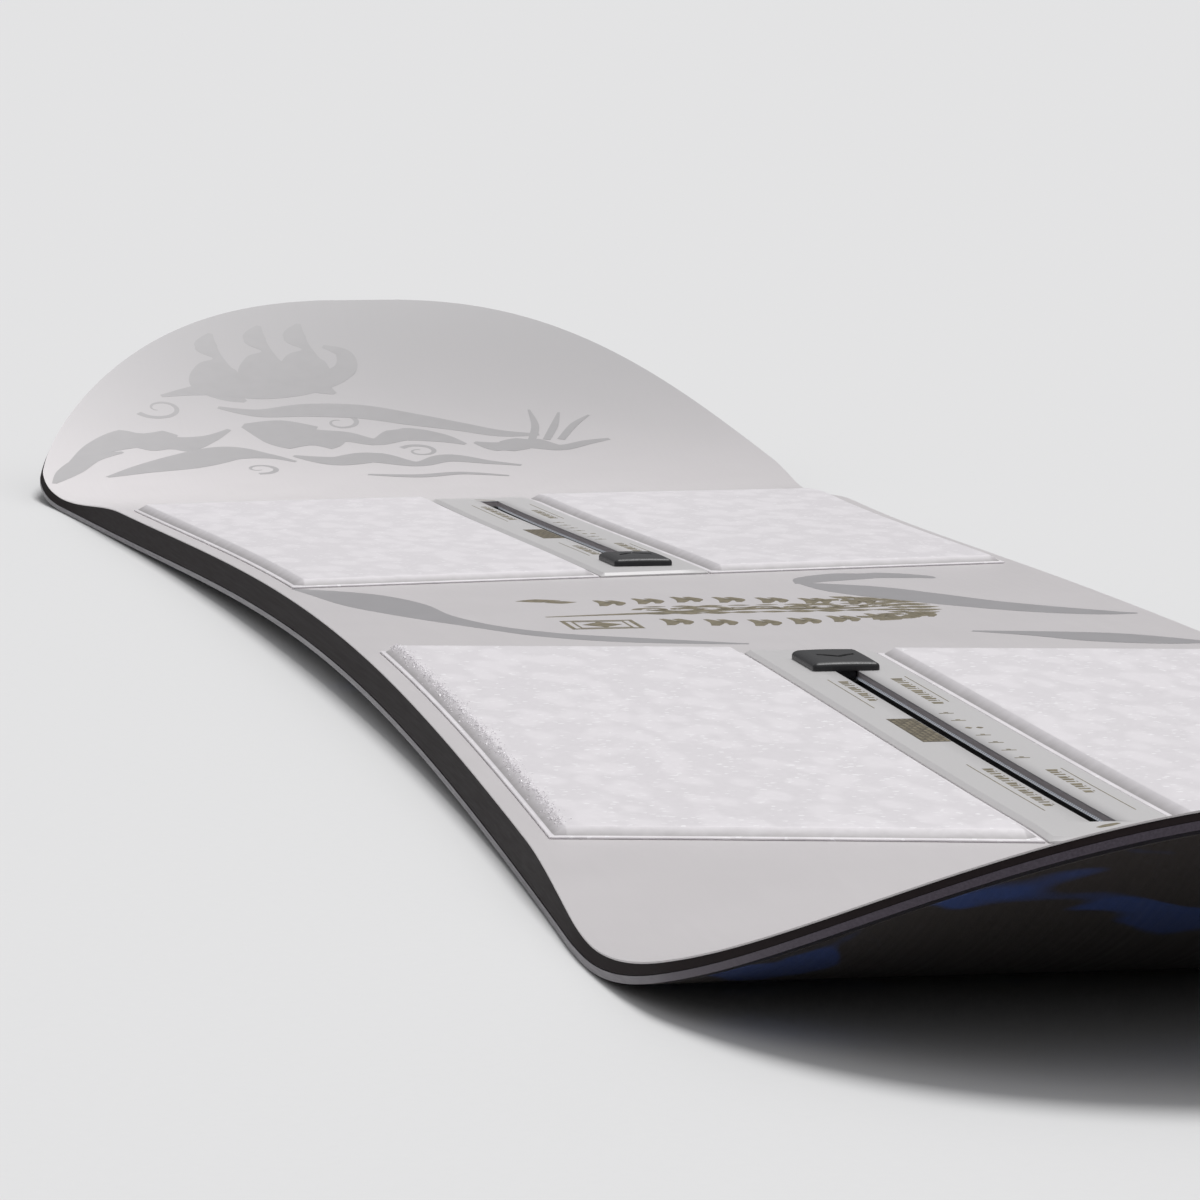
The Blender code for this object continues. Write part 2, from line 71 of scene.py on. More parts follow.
SETBACK = 0.014
NOSE_LENGTH, TAIL_LENGTH = 0.803, 0.775
WAIST_HALF, SIDECUT_RADIUS, SIDECUT_END = 0.126, 8.4, 0.650
NOSE_TURN, NOSE_POWERS = 0.612, (1.95, 2.65)
TAIL_TURN, TAIL_POWERS = 0.547, (2.20, 2.75)
TIP_SWEEP, TIP_STEPS, STATION_PITCH = 0.965 * math.pi / 2, 64, 0.0048
SQUARE_UNTIL, SQUARE_FADE = 0.48, 0.06
CAMBER, CAMBER_REACH, CAMBER_POWER = 0.0065, 0.562, 2.65
NOSE_RISE, NOSE_KICK, NOSE_CURVE = 0.065, 0.588, 1.97
TAIL_RISE, TAIL_KICK, TAIL_CURVE = 0.0565, 0.579, 2.05
THICK_MIDDLE, THICK_CONTACT, THICK_TIP = 0.0104, 0.0048, 0.0043
TAPER_START, TAPER_END, TIP_TAPER_END = 0.455, 0.590, 0.800
GLUE_LINE = 0.0002
BASE_THICK = 0.0011
EDGE_WIDTH, EDGE_HEIGHT, EDGE_FLARE = 0.0020, 0.0018, 0.0012
WIDEST_HALF = cad_box[1][1] - EDGE_FLARE - 0.000001
WHOLE_BOARD = (-1.0, 1.0)


def half_width(x):
    """Half the topsheet's width at a station."""
    nose = np.clip((x - NOSE_TURN) / (NOSE_LENGTH - NOSE_TURN), 0, 1)
    tail = np.clip((-x - TAIL_TURN) / (TAIL_LENGTH - TAIL_TURN), 0, 1)
    sidecut = WAIST_HALF + np.minimum(np.abs(x), SIDECUT_END) ** 2 / (2 * SIDECUT_RADIUS)
    rounding = (1 - nose ** NOSE_POWERS[0]) ** (1 / NOSE_POWERS[1])
    rounding = rounding * (1 - tail ** TAIL_POWERS[0]) ** (1 / TAIL_POWERS[1])
    return np.minimum(sidecut * rounding, WIDEST_HALF)


def ease(start, end, value):
    t = np.clip((value - start) / (end - start), 0, 1)
    return t * t * (3 - 2 * t)


def floor_height(x):
    """Height of the base's underside: camber between the feet, upturned nose and tail."""
    camber = CAMBER * np.maximum(1 - (np.abs(x) / CAMBER_REACH) ** 2, 0) ** CAMBER_POWER
    nose = NOSE_RISE * np.maximum((x - NOSE_KICK) / (NOSE_LENGTH - NOSE_KICK), 0) ** NOSE_CURVE
    tail = TAIL_RISE * np.maximum((-x - TAIL_KICK) / (TAIL_LENGTH - TAIL_KICK), 0) ** TAIL_CURVE
    return camber + nose + tail


def deck_height(x):
    """Height of the topsheet's upper face."""
    thinned = (THICK_MIDDLE - THICK_CONTACT) * ease(TAPER_START, TAPER_END, np.abs(x))
    thinned += (THICK_CONTACT - THICK_TIP) * ease(TAPER_END, TIP_TAPER_END, np.abs(x))
    return floor_height(x) + THICK_MIDDLE - thinned


def above_floor(height):
    return lambda x: floor_height(x) + height


def above_deck(height):
    return lambda x: deck_height(x) + height


def make_rim():
    """Left rim from tail to nose, closely spaced, with the vectors that offset it outwards by one."""
    sweep = np.sin(np.linspace(0, TIP_SWEEP, TIP_STEPS + 1))
    nose = NOSE_TURN + (NOSE_LENGTH - NOSE_TURN) * sweep
    tail = -TAIL_TURN - (TAIL_LENGTH - TAIL_TURN) * sweep
    count = round((NOSE_TURN + TAIL_TURN) / STATION_PITCH)
    middle = np.linspace(-TAIL_TURN, NOSE_TURN, count + 1)[1:-1]
    stations = np.concatenate([tail[::-1], middle, nose])
    x = np.concatenate([stations[:1], stations, stations[-1:]])
    y = np.concatenate([[GLUE_LINE / 2], half_width(stations), [GLUE_LINE / 2]])
    run = np.stack([np.diff(x), np.diff(y)], axis=1)
    run /= np.linalg.norm(run, axis=1)[:, None]
    normal = np.stack([-run[:, 1], run[:, 0]], axis=1)
    mitre = (normal[:-1] + normal[1:]) / (1 + np.sum(normal[:-1] * normal[1:], axis=1))[:, None]
    outward = np.concatenate([normal[:1], mitre, normal[-1:]])
    outward[:, 0] *= np.clip((np.abs(x) - SQUARE_UNTIL) / SQUARE_FADE, 0, 1)
    return stations, np.stack([x, y], axis=1), outward


STATIONS, RIM, OUTWARD = make_rim()


def rim_between(start, end, inset):
    """Rim points from one station to another, moved inwards by inset."""
    points = RIM - inset * OUTWARD
    inside = (RIM[:, 0] > start + 1e-6) & (RIM[:, 0] < end - 1e-6)
    path = [tuple(point) for point in points[inside]]
    if not inside[0]:
        path.insert(0, (start, np.interp(start, points[1:-1, 0], points[1:-1, 1])))
    if not inside[-1]:
        path.append((end, np.interp(end, points[1:-1, 0], points[1:-1, 1])))
    return path


def slab(low, high):
    """Closed solid between two grids of points that match row by row and column by column."""
    rows, columns = len(low), len(low[0])
    count = rows * columns
    verts = [point for grid in (low, high) for row in grid for point in row]
    faces = []
    for r in range(rows - 1):
        for c in range(columns - 1):
            cell = [r * columns + c, (r + 1) * columns + c, (r + 1) * columns + c + 1, r * columns + c + 1]
            faces += [[i + count for i in cell], cell[::-1]]
    border = [r * columns for r in range(rows)]
    border += [(rows - 1) * columns + c for c in range(1, columns)]
    border += [r * columns + columns - 1 for r in range(rows - 2, -1, -1)]
    border += [c for c in range(columns - 2, 0, -1)]
    faces += [[a, b, b + count, a + count] for a, b in zip(border, border[1:] + border[:1])]
    return verts, faces


def joined(parts):
    """Several solids as one list of points and one list of faces."""
    verts, faces = [], []
    for part_verts, part_faces in parts:
        faces += [[i + len(verts) for i in face] for face in part_faces]
        verts += part_verts
    return verts, faces


def board_layer(low, high, start, end, inset, columns=2):
    """Board-wide layer between two heights, set in from the rim."""
    points = [(x, y) for x, y in rim_between(start, end, inset) if y > GLUE_LINE]
    shares = np.linspace(-1, 1, columns)
    return slab(*[[[(x, share * y, height(x)) for share in shares] for x, y in points] for height in (low, high)])


def add_piece(name, solid, finishes, body="board", softened=0.0, sharp_above=35):
    """Piece that rides on a body; softened is the radius, in metres, that its corners are eased to."""
    verts, faces = solid
    mesh = bpy.data.meshes.new(name)
    shape = bmesh.new()
    corners = [shape.verts.new((float(x) - SETBACK, float(y), float(z))) for x, y, z in verts]
    for face in faces:
        shape.faces.new([corners[i] for i in face])
    bmesh.ops.recalc_face_normals(shape, faces=shape.faces)
    shape.to_mesh(mesh)
    shape.free()
    for finish in finishes:
        mesh.materials.append(finish)
    for polygon in mesh.polygons:
        polygon.use_smooth = True
    mesh.set_sharp_from_angle(angle=math.radians(sharp_above))
    piece = bpy.data.objects.new(name, mesh)
    bpy.context.collection.objects.link(piece)
    if softened:
        easing = piece.modifiers.new("eased_corners", "BEVEL")
        easing.width, easing.segments, easing.harden_normals = softened, 3, True
        easing.limit_method, easing.angle_limit = "ANGLE", math.radians(22)
    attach(piece, body)
    return piece


def srgb(hex_colour):
    """Linear colour from an sRGB hex value."""
    channels = [int(hex_colour[i:i + 2], 16) / 255 for i in (0, 2, 4)]
    return (*[c / 12.92 if c <= 0.04045 else ((c + 0.055) / 1.055) ** 2.4 for c in channels], 1.0)


def add(tree, kind, sockets=None, **settings):
    """Node with its settings; a socket is linked to another node's output or set to a value."""
    node = tree.nodes.new(kind)
    for setting, value in settings.items():
        setattr(node, setting, value)
    for socket, value in (sockets or {}).items():
        if isinstance(value, bpy.types.NodeSocket):
            tree.links.new(value, node.inputs[socket])
        else:
            node.inputs[socket].default_value = value
    return node


def start_finish(name, **constants):
    """New material: its node tree, its shader with constants set, and the position on the piece in metres."""
    finish = bpy.data.materials.new(name)
    finish.use_nodes = True
    tree = finish.node_tree
    shader = tree.nodes["Principled BSDF"]
    for socket, value in constants.items():
        shader.inputs[socket.replace("_", " ")].default_value = value
    return finish, tree, shader, tree.nodes.new("ShaderNodeTexCoord").outputs["Object"]


# Sintered polyethylene, stone ground: waxy, with long fine lines 1.2 mm apart and patches about 50 mm across.
polyethylene, tree, shader, place = start_finish("sintered_polyethylene", Roughness=0.34, IOR=1.51)
wander = add(tree, "ShaderNodeTexNoise", {"Vector": place, "Scale": 1 / 0.050, "Detail": 2.0, "Distortion": 0.4})
patch = add(tree, "ShaderNodeMapRange", {"Value": wander.outputs[0], "From Min": 0.61, "From Max": 0.64})
lines = add(tree, "ShaderNodeMapping", {"Vector": place, "Scale": (1 / 0.060, 1 / 0.0012, 1 / 0.060)})
grind = add(tree, "ShaderNodeTexNoise", {"Vector": lines.outputs[0], "Scale": 1.0, "Detail": 2.0})
base_colour = add(tree, "ShaderNodeMix", {0: patch.outputs[0], 6: srgb("2B2522"), 7: srgb("283B6C")},
                  data_type="RGBA")
dulled = add(tree, "ShaderNodeMapRange", {"Value": grind.outputs[0], "To Min": 0.26, "To Max": 0.44})
ground = add(tree, "ShaderNodeBump", {"Height": grind.outputs[0], "Strength": 0.25, "Distance": 0.00012})
tree.links.new(base_colour.outputs[2], shader.inputs["Base Color"])
tree.links.new(dulled.outputs[0], shader.inputs["Roughness"])
tree.links.new(ground.outputs[0], shader.inputs["Normal"])

base_sheet = add_piece("base_running_surface",
                       board_layer(above_floor(0), above_floor(BASE_THICK), *WHOLE_BOARD,
                                   EDGE_WIDTH + GLUE_LINE - EDGE_FLARE), [polyethylene])
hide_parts("base_sheet")


# ---------------------------------------------------------------- steel edges
# Hardened steel strip, 2 mm wide and 1.8 mm high, that runs round the whole board, with a thin tang cast
# into the laminate. It is ground with the base, so its faces carry fine lengthwise scratches.

TANG_REACH, TANG_LOW, TANG_HIGH = 0.0070, 0.0013, 0.0016
EDGE_PROFILE = [(-EDGE_FLARE, above_floor(0)), (EDGE_WIDTH - EDGE_FLARE, above_floor(0)),
                (EDGE_WIDTH - EDGE_FLARE, above_floor(TANG_LOW)), (TANG_REACH - EDGE_FLARE, above_floor(TANG_LOW)),
                (TANG_REACH - EDGE_FLARE, above_floor(TANG_HIGH)), (EDGE_WIDTH - EDGE_FLARE, above_floor(TANG_HIGH)),
                (EDGE_WIDTH - EDGE_FLARE, above_floor(EDGE_HEIGHT)), (-EDGE_FLARE, above_floor(EDGE_HEIGHT))]


def tube(verts, size):
    """Closed solid from rings of size points that follow one another."""
    steps = len(verts) // size
    faces = [list(range(size))[::-1], [(steps - 1) * size + i for i in range(size)]]
    for k in range(steps - 1):
        faces += [[k * size + i, k * size + (i + 1) % size, (k + 1) * size + (i + 1) % size, (k + 1) * size + i]
                  for i in range(size)]
    return verts, faces


def rim_strip(profile, start, end, side):
    """Strip that follows one rim; profile is a closed list of (inset, height function)."""
    rings = [rim_between(start, end, inset) for inset, _ in profile]
    verts = [(ring[k][0], side * ring[k][1], height(ring[k][0]))
             for k in range(len(rings[0])) for ring, (_, height) in zip(rings, profile)]
    return tube(verts, len(profile))


# Ground steel: dull purple-grey metal, tarnished, with scratches 0.5 mm apart that stretch along the board.
ground_steel, tree, shader, place = start_finish("ground_steel", Metallic=1.0)
along = add(tree, "ShaderNodeMapping", {"Vector": place, "Scale": (1 / 0.030, 1 / 0.0005, 1 / 0.0005)})
scratches = add(tree, "ShaderNodeTexNoise", {"Vector": along.outputs[0], "Scale": 1.0, "Detail": 3.0})
steel_colour = add(tree, "ShaderNodeMix", {0: scratches.outputs[0], 6: srgb("3A353B"), 7: srgb("5F5962")},
                   data_type="RGBA")
steel_dull = add(tree, "ShaderNodeMapRange", {"Value": scratches.outputs[0], "To Min": 0.22, "To Max": 0.48})
steel_lines = add(tree, "ShaderNodeBump", {"Height": scratches.outputs[0], "Strength": 0.3, "Distance": 0.0001})
tree.links.new(steel_colour.outputs[2], shader.inputs["Base Color"])
tree.links.new(steel_dull.outputs[0], shader.inputs["Roughness"])
tree.links.new(steel_lines.outputs[0], shader.inputs["Normal"])

SIDES = (("left", 1), ("right", -1))
for side_name, side in SIDES:
    steel_edge = add_piece(f"edge_steel_{side_name}", rim_strip(EDGE_PROFILE, *WHOLE_BOARD, side), [ground_steel],
                           softened=0.00012)
    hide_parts(f"steel_edge_{side_name}")


# ---------------------------------------------------------------- lower laminate and damping strips
# Resin-soaked triaxial glass cloth under the core, and a strip of rubber foil over each steel tang that lets
# the stiff steel and the glass move against each other. Both are pressed in and can't be seen from outside.

# Glass laminate: straw-coloured resin over yarns 2 mm apart, crossing at right angles.
glass_laminate, tree, shader, place = start_finish("glass_laminate", Roughness=0.32, IOR=1.52)
warp = add(tree, "ShaderNodeTexWave", {"Vector": place, "Scale": 1 / 0.0126}, bands_direction="X")
weft = add(tree, "ShaderNodeTexWave", {"Vector": place, "Scale": 1 / 0.0126}, bands_direction="Y")
weave = add(tree, "ShaderNodeMath", {0: warp.outputs["Fac"], 1: weft.outputs["Fac"]}, operation="MAXIMUM")
glass_colour = add(tree, "ShaderNodeMix", {0: weave.outputs[0], 6: srgb("A29C6E"), 7: srgb("CDC9A6")},
                   data_type="RGBA")
yarns = add(tree, "ShaderNodeBump", {"Height": weave.outputs[0], "Strength": 0.4, "Distance": 0.0001})
tree.links.new(glass_colour.outputs[2], shader.inputs["Base Color"])
tree.links.new(yarns.outputs[0], shader.inputs["Normal"])

# Rubber foil: matt black with a fine calendered grain of about 0.8 mm.
rubber_foil, tree, shader, place = start_finish("rubber_foil", Base_Color=srgb("1D1D1D"))
calendered = add(tree, "ShaderNodeTexNoise", {"Vector": place, "Scale": 1 / 0.0008, "Detail": 2.0})
foil_dull = add(tree, "ShaderNodeMapRange", {"Value": calendered.outputs[0], "To Min": 0.7, "To Max": 0.9})
foil_grain = add(tree, "ShaderNodeBump", {"Height": calendered.outputs[0], "Strength": 0.3, "Distance": 0.0001})
tree.links.new(foil_dull.outputs[0], shader.inputs["Roughness"])
tree.links.new(foil_grain.outputs[0], shader.inputs["Normal"])


def finish_node(node, finish):
    """Gives a carried-over solid its surface."""
    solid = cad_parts[node]
    for slot in solid.material_slots:
        slot.link = "OBJECT"
        slot.material = finish


finish_node("lower_laminate", glass_laminate)
finish_node("damping_strip_left", rubber_foil)
finish_node("damping_strip_right", rubber_foil)


# ---------------------------------------------------------------- wood core
# Five glued stringers, planed thinner towards the tips: beech in the middle, under the channels, and at the
# sides, with lighter poplar between. The grain runs along the board.

for wood_name, dark_ring, pale_ring, nodes in (
        ("beech_stringer", "9C7043", "C79E6B", ("core_stringer_centre", "core_stringer_outer_left",
                                                "core_stringer_outer_right")),
        ("poplar_stringer", "BE9A62", "DCC296", ("core_stringer_inner_left", "core_stringer_inner_right"))):
    # Planed wood: growth rings about 3 mm apart that wander over 200 mm, with pores 0.4 mm across.
    wood, tree, shader, place = start_finish(wood_name, IOR=1.47)
    lengthwise = add(tree, "ShaderNodeMapping", {"Vector": place, "Scale": (1 / 0.200, 1 / 0.010, 1 / 0.010)})
    rings = add(tree, "ShaderNodeTexWave", {"Vector": lengthwise.outputs[0], "Scale": 1.0, "Distortion": 5.0,
                                            "Detail": 2.0}, bands_direction="Y")
    pore_place = add(tree, "ShaderNodeMapping", {"Vector": place, "Scale": (1 / 0.012, 1 / 0.0004, 1 / 0.0004)})
    pores = add(tree, "ShaderNodeTexNoise", {"Vector": pore_place.outputs[0], "Scale": 1.0, "Detail": 2.0})
    wood_colour = add(tree, "ShaderNodeMix", {0: rings.outputs["Fac"], 6: srgb(dark_ring), 7: srgb(pale_ring)},
                      data_type="RGBA")
    wood_dull = add(tree, "ShaderNodeMapRange", {"Value": pores.outputs[0], "To Min": 0.55, "To Max": 0.8})
    open_pores = add(tree, "ShaderNodeBump", {"Height": pores.outputs[0], "Strength": 0.35, "Distance": 0.0001})
    tree.links.new(wood_colour.outputs[2], shader.inputs["Base Color"])
    tree.links.new(wood_dull.outputs[0], shader.inputs["Roughness"])
    tree.links.new(open_pores.outputs[0], shader.inputs["Normal"])
    for node in nodes:
        finish_node(node, wood)


# ---------------------------------------------------------------- sidewalls and tip spacers
# Strips of charcoal ABS glued along the core, and one sheet of the same plastic that fills each tip. After
# pressing, a cutter bevels them from the topsheet out to the steel and leaves faint lengthwise lines.

TOPSHEET_THICK, LAMINATE_THICK = 0.00045, 0.0005
CORE_BELOW_DECK = TOPSHEET_THICK + LAMINATE_THICK + 2 * GLUE_LINE
SIDEWALL_BOTTOM, SIDEWALL_SHELF, SIDEWALL_LIP = 0.0019, 0.0008, 0.00005
SIDEWALL_TOP, SIDEWALL_FOOT = -TOPSHEET_THICK, TANG_REACH - EDGE_FLARE
SIDEWALL_PROFILE = [(GLUE_LINE - EDGE_FLARE, above_floor(SIDEWALL_BOTTOM)),
                    (SIDEWALL_FOOT, above_floor(SIDEWALL_BOTTOM)),
                    (SIDEWALL_FOOT, above_deck(-CORE_BELOW_DECK)),
                    (SIDEWALL_SHELF, above_deck(-CORE_BELOW_DECK)),
                    (SIDEWALL_SHELF, above_deck(SIDEWALL_TOP)),
                    (SIDEWALL_LIP, above_deck(SIDEWALL_TOP))]

# Milled ABS: satin charcoal with cutter lines 0.7 mm apart along the board.
milled_abs, tree, shader, place = start_finish("milled_abs", IOR=1.54, Specular_IOR_Level=0.05)
cutter_place = add(tree, "ShaderNodeMapping", {"Vector": place, "Scale": (1 / 0.050, 1 / 0.0007, 1 / 0.0007)})
cutter_lines = add(tree, "ShaderNodeTexNoise", {"Vector": cutter_place.outputs[0], "Scale": 1.0, "Detail": 2.0})
abs_colour = add(tree, "ShaderNodeMix", {0: cutter_lines.outputs[0], 6: srgb("1D1718"), 7: srgb("2A2324")},
                 data_type="RGBA")
abs_dull = add(tree, "ShaderNodeMapRange", {"Value": cutter_lines.outputs[0], "To Min": 0.5, "To Max": 0.65})
abs_lines = add(tree, "ShaderNodeBump", {"Height": cutter_lines.outputs[0], "Strength": 0.3, "Distance": 0.0001})
tree.links.new(abs_colour.outputs[2], shader.inputs["Base Color"])
tree.links.new(abs_dull.outputs[0], shader.inputs["Roughness"])
tree.links.new(abs_lines.outputs[0], shader.inputs["Normal"])

for side_name, side in SIDES:
    sidewall = add_piece(f"sidewall_milled_{side_name}", rim_strip(SIDEWALL_PROFILE, *WHOLE_BOARD, side),
                         [milled_abs], softened=0.0001)
    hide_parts(f"sidewall_{side_name}")
finish_node("nose_spacer", milled_abs)
finish_node("tail_spacer", milled_abs)


# ---------------------------------------------------------------- upper laminate
# A second glass layer over the core, bonded in the same pressing; only the topsheet covers it.

finish_node("upper_laminate", glass_laminate)


# ---------------------------------------------------------------- topsheet and its printed art
# Clear nylon sheet, printed light grey on its underside and satin on top, with tone-on-tone scrolls, and a
# bronze ornament at the waist. The prints are films of ink under the lacquer.

TOPSHEET_COLUMNS = 25
RAIL_OPENING = (0.1466, 0.4627, 0.0059)
INK_HEIGHT, INK_DEPTH, INK_OVERLAP = 0.00004, 0.00003, 0.000003

# Satin lacquer over a pale grey print, with painted shade that darkens it towards the nose: a soft sheen, with a
# very faint pearl variation 30 mm across and a haze of fine brush lines 1.5 mm apart.
satin_topsheet, tree, shader, place = start_finish("satin_topsheet", IOR=1.5, Specular_IOR_Level=0.25,
                                                  Coat_Weight=0.08, Coat_Roughness=0.3)
pearl = add(tree, "ShaderNodeTexNoise", {"Vector": place, "Scale": 1 / 0.030, "Detail": 3.0})
brush_place = add(tree, "ShaderNodeMapping", {"Vector": place, "Scale": (1 / 0.040, 1 / 0.0015, 1 / 0.040)})
brushing = add(tree, "ShaderNodeTexNoise", {"Vector": brush_place.outputs[0], "Scale": 1.0, "Detail": 3.0})
plain_colour = add(tree, "ShaderNodeMix", {0: pearl.outputs[0], 6: srgb("CDC9CA"), 7: srgb("D3CFD0")},
                   data_type="RGBA")
# Painted shade: from 0.58 m out to the nose's tip the sheet's colour darkens, standing for the upturned nose facing
# away from the light.
sheet_axes = add(tree, "ShaderNodeSeparateXYZ", {"Vector": place})
painted_nose_shade = add(tree, "ShaderNodeMapRange", {"Value": sheet_axes.outputs[0], "From Min": 0.58, "From Max": 0.79},
              interpolation_type="SMOOTHSTEP")
sheet_colour = add(tree, "ShaderNodeMix", {0: painted_nose_shade.outputs[0], 6: plain_colour.outputs[2], 7: srgb("B0AEAF")},
                   data_type="RGBA")
sheet_dull = add(tree, "ShaderNodeMapRange", {"Value": brushing.outputs[0], "To Min": 0.36, "To Max": 0.50})
sheet_lines = add(tree, "ShaderNodeBump", {"Height": brushing.outputs[0], "Strength": 0.12, "Distance": 0.0001})
tree.links.new(sheet_colour.outputs[2], shader.inputs["Base Color"])
tree.links.new(sheet_dull.outputs[0], shader.inputs["Roughness"])
tree.links.new(sheet_lines.outputs[0], shader.inputs["Normal"])


def along_deck(start, end, ys, heights):
    """Solid laid along the deck from one station to another; heights gives its lower and upper level."""
    inner = [x for x in STATIONS if min(start, end) + 1e-4 < x < max(start, end) - 1e-4]
    rows = [min(start, end), *inner, max(start, end)]
    return slab(*[[[(x, y, deck_height(x) + height) for y in ys] for x in rows] for height in heights])


def cut_out(piece, solids):
    """Cuts solids away from a piece and keeps the result as its mesh."""
    tools = []
    for number, solid in enumerate(solids):
        tool = add_piece(f"{piece.name}_tool_{number}", solid, [])
        difference = piece.modifiers.new(tool.name, "BOOLEAN")
        difference.operation, difference.solver, difference.object = "DIFFERENCE", "EXACT", tool
        tools.append(tool)
    bpy.context.view_layer.update()
    depsgraph = bpy.context.evaluated_depsgraph_get()
    mesh = bpy.data.meshes.new_from_object(piece.evaluated_get(depsgraph))
    piece.modifiers.clear()
    piece.data = mesh
    for tool in tools:
        bpy.data.objects.remove(tool, do_unlink=True)


ENDS = (("nose", 1), ("tail", -1))
topsheet = add_piece("topsheet_satin", board_layer(above_deck(-TOPSHEET_THICK), above_deck(0), *WHOLE_BOARD, 0,
                                                   TOPSHEET_COLUMNS), [satin_topsheet], softened=0.00012)
opening_start, opening_end, opening_half = RAIL_OPENING
cut_out(topsheet, [along_deck(end * opening_start, end * opening_end, (-opening_half, opening_half),
                              (-0.002, 0.002)) for _, end in ENDS])
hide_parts("topsheet")


def through(points, per_span=10):
    """Smooth line through points of any dimension."""
    points = np.array([points[0], *points, points[-1]], float)
    line = []
    for a, b, c, d in zip(points, points[1:], points[2:], points[3:]):
        for t in np.linspace(0, 1, per_span, endpoint=False):
            line.append(0.5 * (2 * b + (c - a) * t + (2 * a - 5 * b + 4 * c - d) * t ** 2
                               + (3 * b - a - 3 * c + d) * t ** 3))
    return np.array([*line, points[-1]])


def ribbon(points, surface=above_deck(INK_HEIGHT), columns=5, per_span=10):
    """Printed band along (station, across, half width), on a surface."""
    line = through(points, per_span)
    run = np.gradient(line[:, :2], axis=0)
    run /= np.maximum(np.linalg.norm(run, axis=1), 1e-9)[:, None]
    bend = np.abs(np.gradient(np.unwrap(np.arctan2(run[:, 1], run[:, 0])))) + 1e-6
    step = np.linalg.norm(np.gradient(line[:, :2], axis=0), axis=1)
    half = np.clip(line[:, 2], 0.00003, np.maximum(0.85 * step / bend, 0.0006))
    across = np.stack([-run[:, 1], run[:, 0]], axis=1) * half[:, None]
    grid = [[line[k, :2] + share * across[k] for share in np.linspace(-1, 1, columns)] for k in range(len(line))]
    return slab(*[[[(x, y, surface(x) - depth) for x, y in row] for row in grid] for depth in (INK_DEPTH, 0)])


def curl(x, y, radius, width, start, turns):
    """Scroll that winds inwards from its outer end, as points for a ribbon."""
    steps = 14
    return [(x + radius * (1 - 0.8 * k / steps) * math.cos(start + turns * math.tau * k / steps),
             y + radius * (1 - 0.8 * k / steps) * math.sin(start + turns * math.tau * k / steps),
             width * (1 - 0.85 * k / steps)) for k in range(steps + 1)]


# Grey ink under the lacquer: darker than the sheet at the waist, only a shade darker at the nose, with the
# sheet's own sheen and a faint grain 6 mm across.
inks = {}
for ink_name, thin, full in (("grey_waist_ink", "A09EA0", "A8A6A8"), ("grey_nose_ink", "A5A3A4", "ACAAAB")):
    inks[ink_name], tree, shader, place = start_finish(ink_name, IOR=1.5, Specular_IOR_Level=0.3, Coat_Weight=0.12,
                                                   Coat_Roughness=0.3)
    ink_grain = add(tree, "ShaderNodeTexNoise", {"Vector": place, "Scale": 1 / 0.006, "Detail": 4.0})
    ink_colour = add(tree, "ShaderNodeMix", {0: ink_grain.outputs[0], 6: srgb(thin), 7: srgb(full)},
                     data_type="RGBA")
    ink_dull = add(tree, "ShaderNodeMapRange", {"Value": ink_grain.outputs[0], "To Min": 0.36, "To Max": 0.46})
    tree.links.new(ink_colour.outputs[2], shader.inputs["Base Color"])
    tree.links.new(ink_dull.outputs[0], shader.inputs["Roughness"])

WAIST_SCROLLS = [
    [(0.096, 0.121, 0.001), (0.068, 0.108, 0.010), (0.034, 0.100, 0.012), (-0.002, 0.092, 0.007),
     (-0.034, 0.080, 0.004), (-0.058, 0.066, 0.005), (-0.074, 0.048, 0.006), (-0.085, 0.028, 0.004),
     (-0.092, 0.012, 0.001)],
    [(0.082, -0.039, 0.001), (0.098, -0.050, 0.009), (0.108, -0.066, 0.011), (0.101, -0.081, 0.006),
     (0.094, -0.086, 0.001)],
    [(0.086, -0.040, 0.001), (0.062, -0.052, 0.011), (0.036, -0.064, 0.012), (0.010, -0.078, 0.010),
     (-0.012, -0.094, 0.009), (-0.026, -0.110, 0.006), (-0.030, -0.121, 0.001)],
    [(-0.070, -0.060, 0.001), (-0.080, -0.078, 0.006), (-0.092, -0.094, 0.011), (-0.104, -0.110, 0.008),
     (-0.110, -0.122, 0.002)]]
